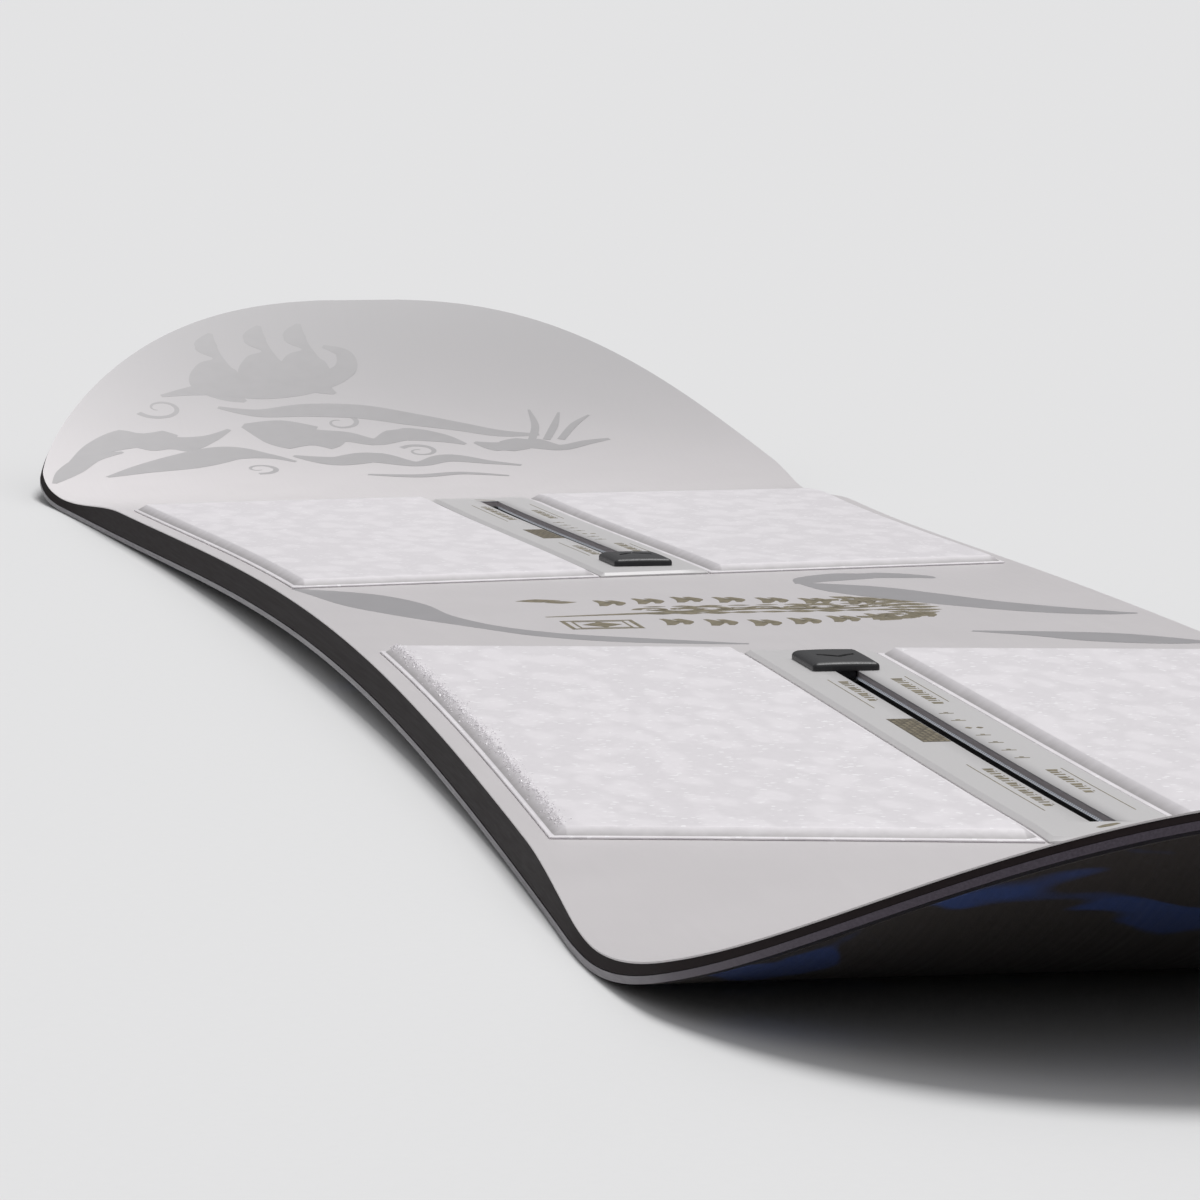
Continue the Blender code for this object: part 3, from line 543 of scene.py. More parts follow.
NOSE_SCROLLS = [
    *[[(tip, y, 0.001), (tip - 0.009, y + 0.003, 0.0050), (tip - 0.018, y - 0.001, 0.0022),
       (tip - 0.026, y + 0.001, 0.0085), (tip - 0.038, y + 0.002, 0.0110), (tip - 0.048, y - 0.002, 0.0060),
       (tip - 0.054, y - 0.008, 0.001)] for tip, y in ((0.781, 0.066), (0.786, 0.045), (0.787, 0.028))],
    [(0.733, 0.092, 0.001), (0.738, 0.072, 0.0050), (0.737, 0.050, 0.0080), (0.741, 0.030, 0.0070),
     (0.752, 0.014, 0.0050), (0.765, 0.012, 0.0035), (0.771, 0.020, 0.001)],
    [(0.630, 0.146, 0.001), (0.650, 0.138, 0.0050), (0.668, 0.128, 0.0045), (0.676, 0.114, 0.001)],
    [(0.664, 0.136, 0.001), (0.682, 0.122, 0.0070), (0.692, 0.106, 0.0110), (0.684, 0.092, 0.0100),
     (0.690, 0.078, 0.0040), (0.700, 0.068, 0.001)],
    [(0.640, 0.124, 0.001), (0.652, 0.108, 0.0060), (0.662, 0.090, 0.0100), (0.672, 0.072, 0.0090),
     (0.668, 0.056, 0.0030), (0.660, 0.046, 0.001)],
    [(0.722, 0.070, 0.001), (0.716, 0.054, 0.0035), (0.718, 0.034, 0.0060), (0.716, 0.012, 0.0065),
     (0.708, -0.008, 0.0060), (0.700, -0.026, 0.0045), (0.692, -0.042, 0.0035), (0.690, -0.058, 0.001)],
    [(0.704, 0.062, 0.002), (0.698, 0.050, 0.0120), (0.688, 0.036, 0.0140), (0.690, 0.022, 0.0060),
     (0.684, 0.010, 0.0040), (0.692, -0.002, 0.0070), (0.688, -0.016, 0.0050), (0.680, -0.026, 0.001)],
    [(0.668, 0.046, 0.001), (0.660, 0.030, 0.0060), (0.664, 0.014, 0.0070), (0.654, -0.002, 0.0035),
     (0.662, -0.016, 0.0050), (0.655, -0.032, 0.0025), (0.650, -0.044, 0.001)],
    [(0.682, -0.030, 0.001), (0.676, -0.040, 0.0060), (0.680, -0.052, 0.0065), (0.674, -0.064, 0.0035),
     (0.680, -0.076, 0.0025), (0.684, -0.086, 0.001)],
    [(0.638, 0.020, 0.001), (0.634, 0.000, 0.0028), (0.638, -0.018, 0.0022), (0.632, -0.036, 0.001)],
    *[[(0.684, -0.054 - 0.006 * k, 0.0016), (0.700, -0.058 - 0.008 * k, 0.0016),
       (0.716 - 0.003 * k, -0.058 - 0.012 * k, 0.0005)] for k in range(3)]]
nose_art = [ribbon(points, above_deck(INK_HEIGHT + INK_OVERLAP * k)) for k, points in enumerate(NOSE_SCROLLS)]
nose_art += [ribbon(curl(x, y, radius, 0.0014, start, turns), columns=3, per_span=5)
             for x, y, radius, start, turns in ((0.722, 0.094, 0.010, 2.0, 1.1), (0.706, 0.022, 0.009, 0.4, -1.1),
                                                (0.650, 0.062, 0.008, 3.0, 1.1), (0.672, -0.006, 0.008, 1.0, -1.2))]
add_piece("waist_scroll_print", joined([ribbon(points, above_deck(INK_HEIGHT + INK_OVERLAP * k))
                                       for k, points in enumerate(WAIST_SCROLLS)]), [inks["grey_waist_ink"]])
nose_print = add_piece("nose_scroll_print", joined(nose_art), [inks["grey_nose_ink"]])

# Bronze and umber inks: olive gold-brown pigments, mottled where the halftone breaks them up every 1.6 mm.
for ink_name, thin, full in (("bronze_ink", "675F4C", "978D75"), ("umber_ink", "3F382D", "6E6553")):
    inks[ink_name], tree, shader, place = start_finish(ink_name, Metallic=0.2, IOR=1.5)
    halftone = add(tree, "ShaderNodeTexVoronoi", {"Vector": place, "Scale": 1 / 0.0016})
    pigment = add(tree, "ShaderNodeMix", {0: halftone.outputs["Distance"], 6: srgb(thin), 7: srgb(full)},
                  data_type="RGBA")
    pigment_dull = add(tree, "ShaderNodeMapRange", {"Value": halftone.outputs["Distance"], "To Min": 0.4,
                                                    "To Max": 0.6})
    tree.links.new(pigment.outputs[2], shader.inputs["Base Color"])
    tree.links.new(pigment_dull.outputs[0], shader.inputs["Roughness"])


def lozenge(x, y, length, half, surface=above_deck(INK_HEIGHT), turned=0.0):
    """Small printed diamond; length runs across the board unless it is turned."""
    reach_x, reach_y = math.sin(turned) * length / 2, math.cos(turned) * length / 2
    return ribbon([(x - reach_x, y - reach_y, 0.0001), (x, y, half), (x + reach_x, y + reach_y, 0.0001)],
                  surface, columns=3, per_span=3)


def bar(start, end, y_low, y_high, surface=above_deck(INK_HEIGHT)):
    """Printed rectangle between two stations."""
    rows = np.linspace(start, end, max(2, round(abs(end - start) / 0.004) + 1))
    return slab(*[[[(x, y, surface(x) - depth) for y in (y_low, y_high)] for x in rows]
                  for depth in (INK_DEPTH, 0)])


# The ornament: two rows of leaf pairs, a scrolled strip between them, a framed diamond and a spray of leaves.
ornament = []
for row_x, first_y, sense in ((0.036, 0.032, 1), (-0.037, 0.022, -1)):
    for k in range(7):
        x, y = row_x - sense * 0.003 * abs(k - 2) ** 1.2, first_y - 0.0128 * k
        ornament += [ribbon([(x - 0.009, y + 0.0030, 0.0012), (x, y + 0.0008, 0.0022), (x + 0.009, y + 0.0026, 0.0008)],
                            columns=3, per_span=4),
                     ribbon([(x - 0.008, y - 0.0022, 0.0008), (x, y - 0.0036, 0.0020), (x + 0.008, y - 0.0016, 0.0012)],
                            columns=3, per_span=4),
                     lozenge(x + 0.0002, y - 0.0012, 0.0052, 0.0030)]
for k in range(9):
    y = 0.022 - 0.0088 * k
    swell = 0.6 + 0.4 * math.sin(0.75 * k + 0.4) ** 2
    ornament += [ribbon(curl(0.006, y, 0.0080 * swell, 0.0024 * swell, 1.57, 1.2 if k % 2 else -1.2), columns=3,
                        per_span=4),
                 lozenge(-0.006, y, 0.0100, 0.0040 * swell), lozenge(0.0150, y - 0.002, 0.0070, 0.0022 * swell)]
ornament.append(ribbon([(-0.010, 0.058, 0.0008), (-0.006, 0.036, 0.0018), (-0.002, 0.014, 0.0024),
                        (0.004, -0.012, 0.0024), (0.000, -0.034, 0.0022), (0.006, -0.052, 0.0008)], columns=3))
for k in range(11):
    angle = math.radians(-75 + 15 * k)
    leaf_x, leaf_y = 0.034 * math.sin(angle), -0.038 - 0.022 * math.cos(angle)
    ornament += [lozenge(leaf_x, leaf_y, 0.0120, 0.0036, turned=angle * 0.6),
                 lozenge(leaf_x * 0.80, leaf_y + 0.006, 0.0080, 0.0030, turned=-angle * 0.6)]
FRAME_X, FRAME_Y = (-0.046, -0.022), (0.034, 0.056)
for inset, thick in ((0, 0.0014), (0.0030, 0.0007)):
    x0, x1, y0, y1 = FRAME_X[0] + inset, FRAME_X[1] - inset, FRAME_Y[0] + inset, FRAME_Y[1] - inset
    ornament += [bar(x0, x1, y0, y0 + thick), bar(x0, x1, y1 - thick, y1),
                 bar(x0, x0 + thick * 1.6, y0, y1), bar(x1 - thick * 1.6, x1, y0, y1)]
ornament += [lozenge(-0.034, 0.045, 0.012, 0.0060), lozenge(-0.034, 0.045, 0.005, 0.0085),
             lozenge(0.040, 0.052, 0.014, 0.0050), lozenge(0.034, 0.046, 0.010, 0.0040)]
add_piece("waist_ornament", joined(ornament), [inks["bronze_ink"]])


# ---------------------------------------------------------------- channel rails
# Anodised aluminium extrusion under each foot: a box set into the core, with a slotted neck up to the plate.
# The slot's lips are machined and painted near-white as a highlight; below them the track that holds the nuts is
# painted near-black as shade.

RAIL_START, NECK_START, KEYHOLE_START, SLOT_START, SLOT_END, RAIL_END = 0.136, 0.147, 0.1496, 0.1634, 0.460, 0.466
RAIL_RUNS = [("keyhole", KEYHOLE_START, SLOT_START), ("slot", SLOT_START, SLOT_END), ("closed", SLOT_END, RAIL_END),
             ("closed", RAIL_START, NECK_START), ("closed_neck", NECK_START, KEYHOLE_START)]
NECK_BRIDGE, NECK_BRIDGE_FOOT = 0.4622, -0.0020
RAIL_HALF, RAIL_BOTTOM, TRACK_HALF, TRACK_FLOOR, TRACK_ROOF = 0.0070, -0.0064, 0.0055, -0.0055, -0.0024
NECK_HALF, NECK_TOP, MOUTH_HALF, MOUTH_FOOT = 0.00445, 0.00105, 0.00348, -0.00040
THROAT_HALF, THROAT_TOP, LIP_FOOT = 0.00298, -0.00090, -0.00105
KEYHOLE_HALF = 0.0059

# Anodised aluminium: drawn metal under a film that goes dark in the slot's shade, with die lines 0.6 mm apart.
# The colour is set pale, and mostly diffuse, so that the shaded wall keeps its mid grey.
anodised_rail, tree, shader, place = start_finish("dark_anodised_aluminium", Metallic=0.2)
die_place = add(tree, "ShaderNodeMapping", {"Vector": place, "Scale": (1 / 0.060, 1 / 0.0006, 1 / 0.0006)})
die_lines = add(tree, "ShaderNodeTexNoise", {"Vector": die_place.outputs[0], "Scale": 1.0, "Detail": 2.0})
rail_colour = add(tree, "ShaderNodeMix", {0: die_lines.outputs[0], 6: srgb("C8C0C1"), 7: srgb("DAD2D3")},
                  data_type="RGBA")
rail_dull = add(tree, "ShaderNodeMapRange", {"Value": die_lines.outputs[0], "To Min": 0.35, "To Max": 0.5})
tree.links.new(rail_colour.outputs[2], shader.inputs["Base Color"])
tree.links.new(rail_dull.outputs[0], shader.inputs["Roughness"])

# Machined lip: aluminium painted near-white and faintly blue as a highlight, with fine tool marks 1 mm apart across
# it. It is given no metallic share, because a mirror there would show only the dark slot.
highlight_lip, tree, shader, place = start_finish("lip_painted_highlight_aluminium", Metallic=0.0)
tool_marks = add(tree, "ShaderNodeTexWave", {"Vector": place, "Scale": 1 / 0.0063, "Distortion": 2.0},
                 bands_direction="X")
lip_highlight_colour = add(tree, "ShaderNodeMix", {0: tool_marks.outputs["Fac"], 6: srgb("DCE6F6"), 7: srgb("F6F9FF")},
                 data_type="RGBA")
lip_dull = add(tree, "ShaderNodeMapRange", {"Value": tool_marks.outputs["Fac"], "To Min": 0.24, "To Max": 0.32})
tree.links.new(lip_highlight_colour.outputs[2], shader.inputs["Base Color"])
tree.links.new(lip_dull.outputs[0], shader.inputs["Roughness"])

# Track under the lips: the same metal painted near-black as the slot's shade, with dry-film lubricant streaks
# 5 mm long.
shade_track, tree, shader, place = start_finish("track_painted_shade_black", Metallic=0.3)
streak_place = add(tree, "ShaderNodeMapping", {"Vector": place, "Scale": (1 / 0.005, 1 / 0.0008, 1 / 0.0008)})
streaks = add(tree, "ShaderNodeTexNoise", {"Vector": streak_place.outputs[0], "Scale": 1.0, "Detail": 2.0})
track_shade_colour = add(tree, "ShaderNodeMix", {0: streaks.outputs[0], 6: srgb("0E0D0D"), 7: srgb("1E1C1C")},
                   data_type="RGBA")
track_dull = add(tree, "ShaderNodeMapRange", {"Value": streaks.outputs[0], "To Min": 0.5, "To Max": 0.7})
tree.links.new(track_shade_colour.outputs[2], shader.inputs["Base Color"])
tree.links.new(track_dull.outputs[0], shader.inputs["Roughness"])


def rail_run(end, start, finish, section):
    """Length of rail with one closed section of (across, height above the deck)."""
    start, finish = sorted((end * start, end * finish))
    rows = [start, *[x for x in STATIONS if start + 1e-4 < x < finish - 1e-4], finish]
    return tube([(x, y, deck_height(x) + z) for x in rows for y, z in section], len(section))


def both_sides(right_half):
    """Closed section from its right half, listed from the bottom centre round to the inner bottom centre."""
    return [*right_half, *[(-y, z) for y, z in right_half[::-1]]]


track = [(TRACK_HALF, TRACK_ROOF), (TRACK_HALF, TRACK_FLOOR)]
outside = [(RAIL_HALF, RAIL_BOTTOM), (RAIL_HALF, -CORE_BELOW_DECK)]
SECTIONS = {
    "slot": both_sides([*outside, (NECK_HALF, -CORE_BELOW_DECK), (NECK_HALF, NECK_TOP), (MOUTH_HALF, NECK_TOP),
                        (MOUTH_HALF, MOUTH_FOOT), (THROAT_HALF, THROAT_TOP), (THROAT_HALF, LIP_FOOT),
                        (THROAT_HALF + 0.0004, LIP_FOOT - 0.0003), (THROAT_HALF + 0.0004, TRACK_ROOF), *track]),
    "keyhole": both_sides([*outside, (KEYHOLE_HALF, -CORE_BELOW_DECK), (KEYHOLE_HALF, TRACK_ROOF), *track]),
    "closed_neck": both_sides([*outside, (NECK_HALF, -CORE_BELOW_DECK), (NECK_HALF, 0.0)]),
    "closed": both_sides([*outside, (RAIL_HALF - 0.001, -CORE_BELOW_DECK)])}
for end_name, end in ENDS:
    runs = [rail_run(end, start, finish, SECTIONS[section]) for section, start, finish in RAIL_RUNS]
    runs.append(along_deck(end * SLOT_END, end * NECK_BRIDGE, (-NECK_HALF, NECK_HALF), (NECK_BRIDGE_FOOT, NECK_TOP)))
    rail = add_piece(f"rail_extrusion_{end_name}", joined(runs), [anodised_rail, highlight_lip, shade_track])
    # Faces below the throat take the painted shade; the faces of the lip's chamfer take the painted highlight.
    for polygon in rail.data.polygons:
        x, y, z = polygon.center
        level = z - float(deck_height(x + SETBACK))
        if level < THROAT_TOP - 0.00001:
            polygon.material_index = 2
        elif THROAT_HALF + 0.00002 < abs(y) < MOUTH_HALF - 0.00002 and THROAT_TOP < level < MOUTH_FOOT:
            polygon.material_index = 1
    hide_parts(f"channel_rail_{end_name}")


# ---------------------------------------------------------------- channel plates
# Satin plastic strip bonded over each rail, with a chamfered border and skewed ends. It is slotted for the
# bindings and printed with a stance scale: plain ticks, bars, rules and a bronze panel.

PAD_START, PAD_END, PAD_SKEW = 0.121, 0.484, 0.203
PLATE_HALF, PLATE_TOP, PLATE_CHAMFER = 0.0184, 0.0015, 0.0014
PLATE_STEPS = [(0.0, 0.0005), (PLATE_CHAMFER, PLATE_TOP)]
PLATE_SLOT_START, PLATE_SLOT_HALF = 0.152, 0.00335
RAIL_POCKET = (0.1466, 0.4625, 0.0047)
PLATE_CUT = (-0.001, 0.004)
TICK_FIRST, TICK_PITCH, TICK_COUNT, STANCE_TICK = 0.263, 0.0142, 7, 2
BAR_PITCH, RULE_HALF = 0.0042, 0.00016
TILE_FIRST, TILE_PITCH, TILE_ROW, TILE_ROW_PITCH = 0.2725, 0.0031, 0.0037, 0.00145

# Moulded plastic: the topsheet's grey with a fine sandblast texture of about 0.9 mm and a low sheen.
plate_plastic, tree, shader, place = start_finish("moulded_plate_plastic", IOR=1.5, Coat_Weight=0.2,
                                                  Coat_Roughness=0.3)
blast = add(tree, "ShaderNodeTexNoise", {"Vector": place, "Scale": 1 / 0.0009, "Detail": 2.0})
plate_colour = add(tree, "ShaderNodeMix", {0: blast.outputs[0], 6: srgb("CCCACA"), 7: srgb("D4D2D2")},
                   data_type="RGBA")
plate_dull = add(tree, "ShaderNodeMapRange", {"Value": blast.outputs[0], "To Min": 0.36, "To Max": 0.48})
plate_grain = add(tree, "ShaderNodeBump", {"Height": blast.outputs[0], "Strength": 0.15, "Distance": 0.0001})
tree.links.new(plate_colour.outputs[2], shader.inputs["Base Color"])
tree.links.new(plate_dull.outputs[0], shader.inputs["Roughness"])
tree.links.new(plate_grain.outputs[0], shader.inputs["Normal"])


def skewed_panel(end, inside, outside, steps, columns):
    """Panel bonded on the deck with skewed ends and a stepped border; steps lists (inset, height)."""
    insets, count = [inset for inset, _ in steps], len(steps)
    border = insets[-1]
    rows = [(PAD_START + inset, step) for step, inset in enumerate(insets[:-1])]
    rows += [(d, count - 1) for d in np.linspace(PAD_START + border, PAD_END - border, 84)]
    rows += [(PAD_END - inset, step) for step, inset in reversed(list(enumerate(insets[:-1])))]
    low, high = [], []
    for distance, row_step in rows:
        low_row, high_row = [], []
        shares = [(None, step, 0) for step in range(count - 1)]
        shares += [(share, count - 1, 0) for share in np.linspace(0, 1, columns)]
        shares += [(None, step, 1) for step in reversed(range(count - 1))]
        for share, column_step, far_side in shares:
            x = end * distance
            for _ in range(6):
                near, far = inside(x), outside(x)
                if share is None:
                    y = far - insets[column_step] if far_side else near + insets[column_step]
                else:
                    y = near + border + share * (far - near - 2 * border)
                x = end * (distance - y * PAD_SKEW)
            level = steps[min(row_step, column_step)][1]
            low_row.append((x, y, deck_height(x) + 0.00002))
            high_row.append((x, y, deck_height(x) + level))
        low.append(low_row)
        high.append(high_row)
    return slab(low, high)


on_plate = above_deck(PLATE_TOP + 0.00003)
for end_name, end in ENDS:
    plate = add_piece(f"channel_plate_moulded_{end_name}",
                      skewed_panel(end, lambda x: -PLATE_HALF, lambda x: PLATE_HALF, PLATE_STEPS, 5),
                      [plate_plastic], softened=0.0002)
    pocket_start, pocket_end, pocket_half = RAIL_POCKET
    cut_out(plate, [along_deck(end * start, end * finish, (-half, half), levels) for start, finish, half, levels in (
        (pocket_start, pocket_end, pocket_half, (PLATE_CUT[0], NECK_TOP + 0.0001)),
        (PLATE_SLOT_START, SLOT_END, PLATE_SLOT_HALF, PLATE_CUT),
        (KEYHOLE_START, SLOT_START, KEYHOLE_HALF, PLATE_CUT))])
    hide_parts(f"channel_plate_{end_name}")

    # Stance scale: ticks every 14.2 mm with a pair of dots at the reference stance, plain bars beside rules, and
    # a panel of small tiles.
    marks = []
    for k in range(TICK_COUNT):
        x = end * (TICK_FIRST + TICK_PITCH * k)
        if k == STANCE_TICK:
            marks += [lozenge(x, -0.0068, 0.0020, 0.0016, on_plate), lozenge(x, -0.0098, 0.0020, 0.0016, on_plate)]
        else:
            marks += [bar(x - 0.0005, x + 0.0005, -0.0094, -0.0054, on_plate),
                      bar(x + 0.0010, x + 0.0022, -0.0082, -0.0070, on_plate)]
    for start, stop, low_y, high_y, rule_start, rule_stop, rule_y in (
            (0.190, 0.246, -0.0112, -0.0084, 0.186, 0.240, -0.0134),
            (0.370, 0.414, -0.0106, -0.0080, 0.368, 0.442, -0.0126),
            (0.194, 0.236, 0.0050, 0.0074, 0.190, 0.250, 0.0094),
            (0.366, 0.432, 0.0050, 0.0074, 0.358, 0.440, 0.0094)):
        for k in range(round((stop - start) / BAR_PITCH)):
            x = start + BAR_PITCH * k
            marks += [bar(end * x, end * (x + 0.0034 - 0.0008 * (k % 3)), low_y + 0.0004 * (k % 2), high_y, on_plate),
                      bar(end * x, end * (x + 0.0014), low_y - 0.0004, low_y, on_plate)]
        marks.append(bar(end * rule_start, end * rule_stop, rule_y - RULE_HALF, rule_y + RULE_HALF, on_plate))
    for k in range(14):
        for row in range(5):
            x, y = end * (TILE_FIRST + TILE_PITCH * k), TILE_ROW + TILE_ROW_PITCH * row
            marks.append(bar(x, x + end * (0.0024 - 0.0007 * ((k + 2 * row) % 3)), y, y + 0.0009, on_plate))
    marks.append(ribbon([(end * 0.4690, 0.0036, 0.0006), (end * 0.4660, 0.0004, 0.0012),
                         (end * 0.4630, -0.0030, 0.0006)], on_plate, columns=3))
    add_piece(f"stance_scale_{end_name}", joined(marks), [inks["bronze_ink"]])
    add_piece(f"stance_panel_{end_name}",
              bar(end * 0.2715, end * 0.3160, 0.0035, 0.0110, above_deck(PLATE_TOP + 0.00002)), [inks["umber_ink"]])


# ---------------------------------------------------------------- stance pads
# Raised elastomer grip panels, one on each side of each channel, cast in pearl white and bonded to the deck.
# Each has a clear chamfer painted grey as shade towards its foot, a thin flange at its foot and, at the tail's
# left, a frosting of crystals.

PAD_INSIDE, PAD_RIM_MARGIN = 0.019, 0.0054
PAD_STEPS = [(0.0, 0.0006), (0.0009, 0.0006), (0.0042, 0.0027)]
FROST_COUNT, FROST_SIZES = 1600, (0.0002, 0.0007)

# Pearl elastomer: milky white with oval scales 18 mm by 7 mm, a shade lighter, and glitter flakes of 1.2 mm
# whose sparkle is painted as white dots. Its chamfer is the same casting without the pearl, with painted shade
# that runs from cool grey at its foot up to white at its top.
pearl_elastomer, tree, shader, place = start_finish("pearl_elastomer", IOR=1.48, Coat_Weight=0.15,
                                                    Coat_Roughness=0.35)
rise = add(tree, "ShaderNodeAttribute", attribute_name="rise")
scale_place = add(tree, "ShaderNodeMapping", {"Vector": place, "Scale": (1 / 0.018, 1 / 0.007, 1 / 0.018)})
scales = add(tree, "ShaderNodeTexVoronoi", {"Vector": scale_place.outputs[0], "Scale": 1.0}, feature="SMOOTH_F1")
scale_edge = add(tree, "ShaderNodeMapRange", {"Value": scales.outputs["Distance"], "From Min": 0.30,
                                              "From Max": 0.50})
flakes = add(tree, "ShaderNodeTexVoronoi", {"Vector": place, "Scale": 1 / 0.0012})
flake_tone = add(tree, "ShaderNodeSeparateColor", {"Color": flakes.outputs["Color"]})
# Painted sparkle: the brightest flakes are coloured near-white in place of their highlight.
painted_sparkle = add(tree, "ShaderNodeMapRange", {"Value": flake_tone.outputs[0], "From Min": 0.94, "From Max": 0.99})
scale_colour = add(tree, "ShaderNodeMix", {0: scale_edge.outputs[0], 6: srgb("F0ECEF"), 7: srgb("E8E4E7")},
                   data_type="RGBA")
pearl_colour = add(tree, "ShaderNodeMix", {0: painted_sparkle.outputs[0], 6: scale_colour.outputs[2], 7: srgb("FDFBFD")},
                   data_type="RGBA")
ripple = add(tree, "ShaderNodeTexNoise", {"Vector": place, "Scale": 1 / 0.006, "Detail": 3.0})
# Painted shade on the chamfer: set by height, grey at its foot and lighter towards its top, with a faint ripple.
wavering = add(tree, "ShaderNodeMath", {0: ripple.outputs[0], 1: 0.30, 2: rise.outputs["Fac"]},
               operation="MULTIPLY_ADD")
chamfer_painted_shade = add(tree, "ShaderNodeMapRange", {"Value": wavering.outputs[0], "From Min": 0.45, "From Max": 1.10})
chamfer_colour_with_shade = add(tree, "ShaderNodeMix", {0: chamfer_painted_shade.outputs[0], 6: srgb("ABA7A8"), 7: srgb("E2DEE1")},
                   data_type="RGBA")
on_chamfer = add(tree, "ShaderNodeMath", {0: rise.outputs["Fac"], 1: 0.62, 2: 0.34}, operation="COMPARE")
pad_colour = add(tree, "ShaderNodeMix", {0: on_chamfer.outputs[0], 6: pearl_colour.outputs[2],
                                         7: chamfer_colour_with_shade.outputs[2]}, data_type="RGBA")
pad_dull = add(tree, "ShaderNodeMapRange", {"Value": flake_tone.outputs[1], "To Min": 0.42, "To Max": 0.52})
flake_bump = add(tree, "ShaderNodeBump", {"Height": flake_tone.outputs[1], "Strength": 0.05, "Distance": 0.0001})
tree.links.new(pad_colour.outputs[2], shader.inputs["Base Color"])
tree.links.new(pad_dull.outputs[0], shader.inputs["Roughness"])
tree.links.new(flake_bump.outputs[0], shader.inputs["Normal"])


def pad_outside(x):
    return float(half_width(x)) - PAD_RIM_MARGIN


for end_name, end in ENDS:
    for side_name, side in SIDES:
        near, far = (lambda x: PAD_INSIDE, pad_outside)
        if side < 0:
            near, far = (lambda x: -pad_outside(x), lambda x: -PAD_INSIDE)
        pad = add_piece(f"grip_pad_{end_name}_{side_name}", skewed_panel(end, near, far, PAD_STEPS, 14),
                        [pearl_elastomer], softened=0.00045)
        easing = pad.modifiers["eased_corners"]
        easing.angle_limit, easing.harden_normals = math.radians(18), False
        risen = pad.data.attributes.new("rise", "FLOAT", "POINT")
        for vertex in pad.data.vertices:
            x, _, z = vertex.co
            risen.data[vertex.index].value = (z - float(deck_height(x + SETBACK))) / PAD_STEPS[-1][1]
        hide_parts(f"stance_pad_{end_name}_{side_name}")

# Frost: crushed clear crystals, each a cut octahedron, scattered along the top of the tail-left pad's outer
# chamfer.
frost_crystal, tree, shader, place = start_finish("frost_crystal", IOR=1.5, Coat_Weight=0.3, Coat_Roughness=0.3)
facets = add(tree, "ShaderNodeTexVoronoi", {"Vector": place, "Scale": 1 / 0.0015})
crystal_colour = add(tree, "ShaderNodeMix", {0: facets.outputs["Distance"], 6: srgb("E6E2E5"), 7: srgb("FAF7FA")},
                     data_type="RGBA")
crystal_dull = add(tree, "ShaderNodeMapRange", {"Value": facets.outputs["Distance"], "To Min": 0.15, "To Max": 0.4})
tree.links.new(crystal_colour.outputs[2], shader.inputs["Base Color"])
tree.links.new(crystal_dull.outputs[0], shader.inputs["Roughness"])

chance = random.Random(7)
crystals = []
for _ in range(FROST_COUNT):
    x = -chance.uniform(PAD_START - 0.022, PAD_END - 0.034)
    clump = 0.5 + 0.5 * math.sin(x * 170) * math.sin(x * 61)
    inward = 0.0040 + 0.0010 * clump + chance.gauss(0, 0.0007 + 0.0006 * clump)
    y = pad_outside(x) - inward
    rise = min(PAD_STEPS[1][1] + (inward - 0.0009) * 0.636, PAD_STEPS[2][1])
    size = chance.uniform(*FROST_SIZES) * (0.55 if inward > 0.0045 else 1)
    middle = np.array([x, y, deck_height(x) + max(rise, 0.0006)])
    axes = [np.array([chance.gauss(0, 1) for _ in range(3)]) for _ in range(2)]
    first = axes[0] / np.linalg.norm(axes[0])
    second = np.cross(first, axes[1])
    second /= np.linalg.norm(second)
    third = np.cross(first, second)
    tips = [middle + sign * size * stretch * axis for axis, stretch in ((first, 0.9), (second, 0.6), (third, 0.45))
            for sign in (1, -1)]
    crystals.append(([tuple(tip) for tip in tips], [[0, 2, 4], [2, 1, 4], [1, 3, 4], [3, 0, 4], [2, 0, 5],
                                                    [1, 2, 5], [3, 1, 5], [0, 3, 5]]))
add_piece("grip_pad_frost_tail_left", joined(crystals), [frost_crystal], sharp_above=5)


# ---------------------------------------------------------------- channel plugs
# Glass-filled nylon plug that snaps into each keyhole: a domed cap with a chevron pointing along the slot, a
# stem that fills the keyhole and a tongue that closes the slot's first centimetre.

PLUG_HALF_X, PLUG_HALF_Y, PLUG_FOOT, PLUG_BROW, PLUG_CROWN = 0.0155, 0.0096, 0.0016, 0.0027, 0.0044
PLUG_ROUNDING, PLUG_CORNER, PLUG_GRID = 0.0030, 0.0014, 0.00026
KEYHOLE_CENTRE = (KEYHOLE_START + SLOT_START) / 2
PLUG_STEM, PLUG_TONGUE = ((-0.0056, 0.0056), 0.0051, -0.0049), ((0.0050, 0.0137), 0.00290, -0.0007)
CHEVRON_TIP, CHEVRON_SPREAD, CHEVRON_HALF, CHEVRON_DEPTH = 0.0046, 0.0052, 0.00090, 0.0010
CHEVRON_SLOPE, CHEVRON_SLANT = 1.05, 1.45

# Moulded nylon: black, satin, with a spark-eroded grain of about 0.7 mm.
black_nylon, tree, shader, place = start_finish("black_glass_filled_nylon", IOR=1.53, Base_Color=srgb("232325"))
erosion = add(tree, "ShaderNodeTexNoise", {"Vector": place, "Scale": 1 / 0.0007, "Detail": 2.0})
nylon_dull = add(tree, "ShaderNodeMapRange", {"Value": erosion.outputs[0], "To Min": 0.32, "To Max": 0.5})
nylon_grain = add(tree, "ShaderNodeBump", {"Height": erosion.outputs[0], "Strength": 0.2, "Distance": 0.0001})
tree.links.new(nylon_dull.outputs[0], shader.inputs["Roughness"])
tree.links.new(nylon_grain.outputs[0], shader.inputs["Normal"])


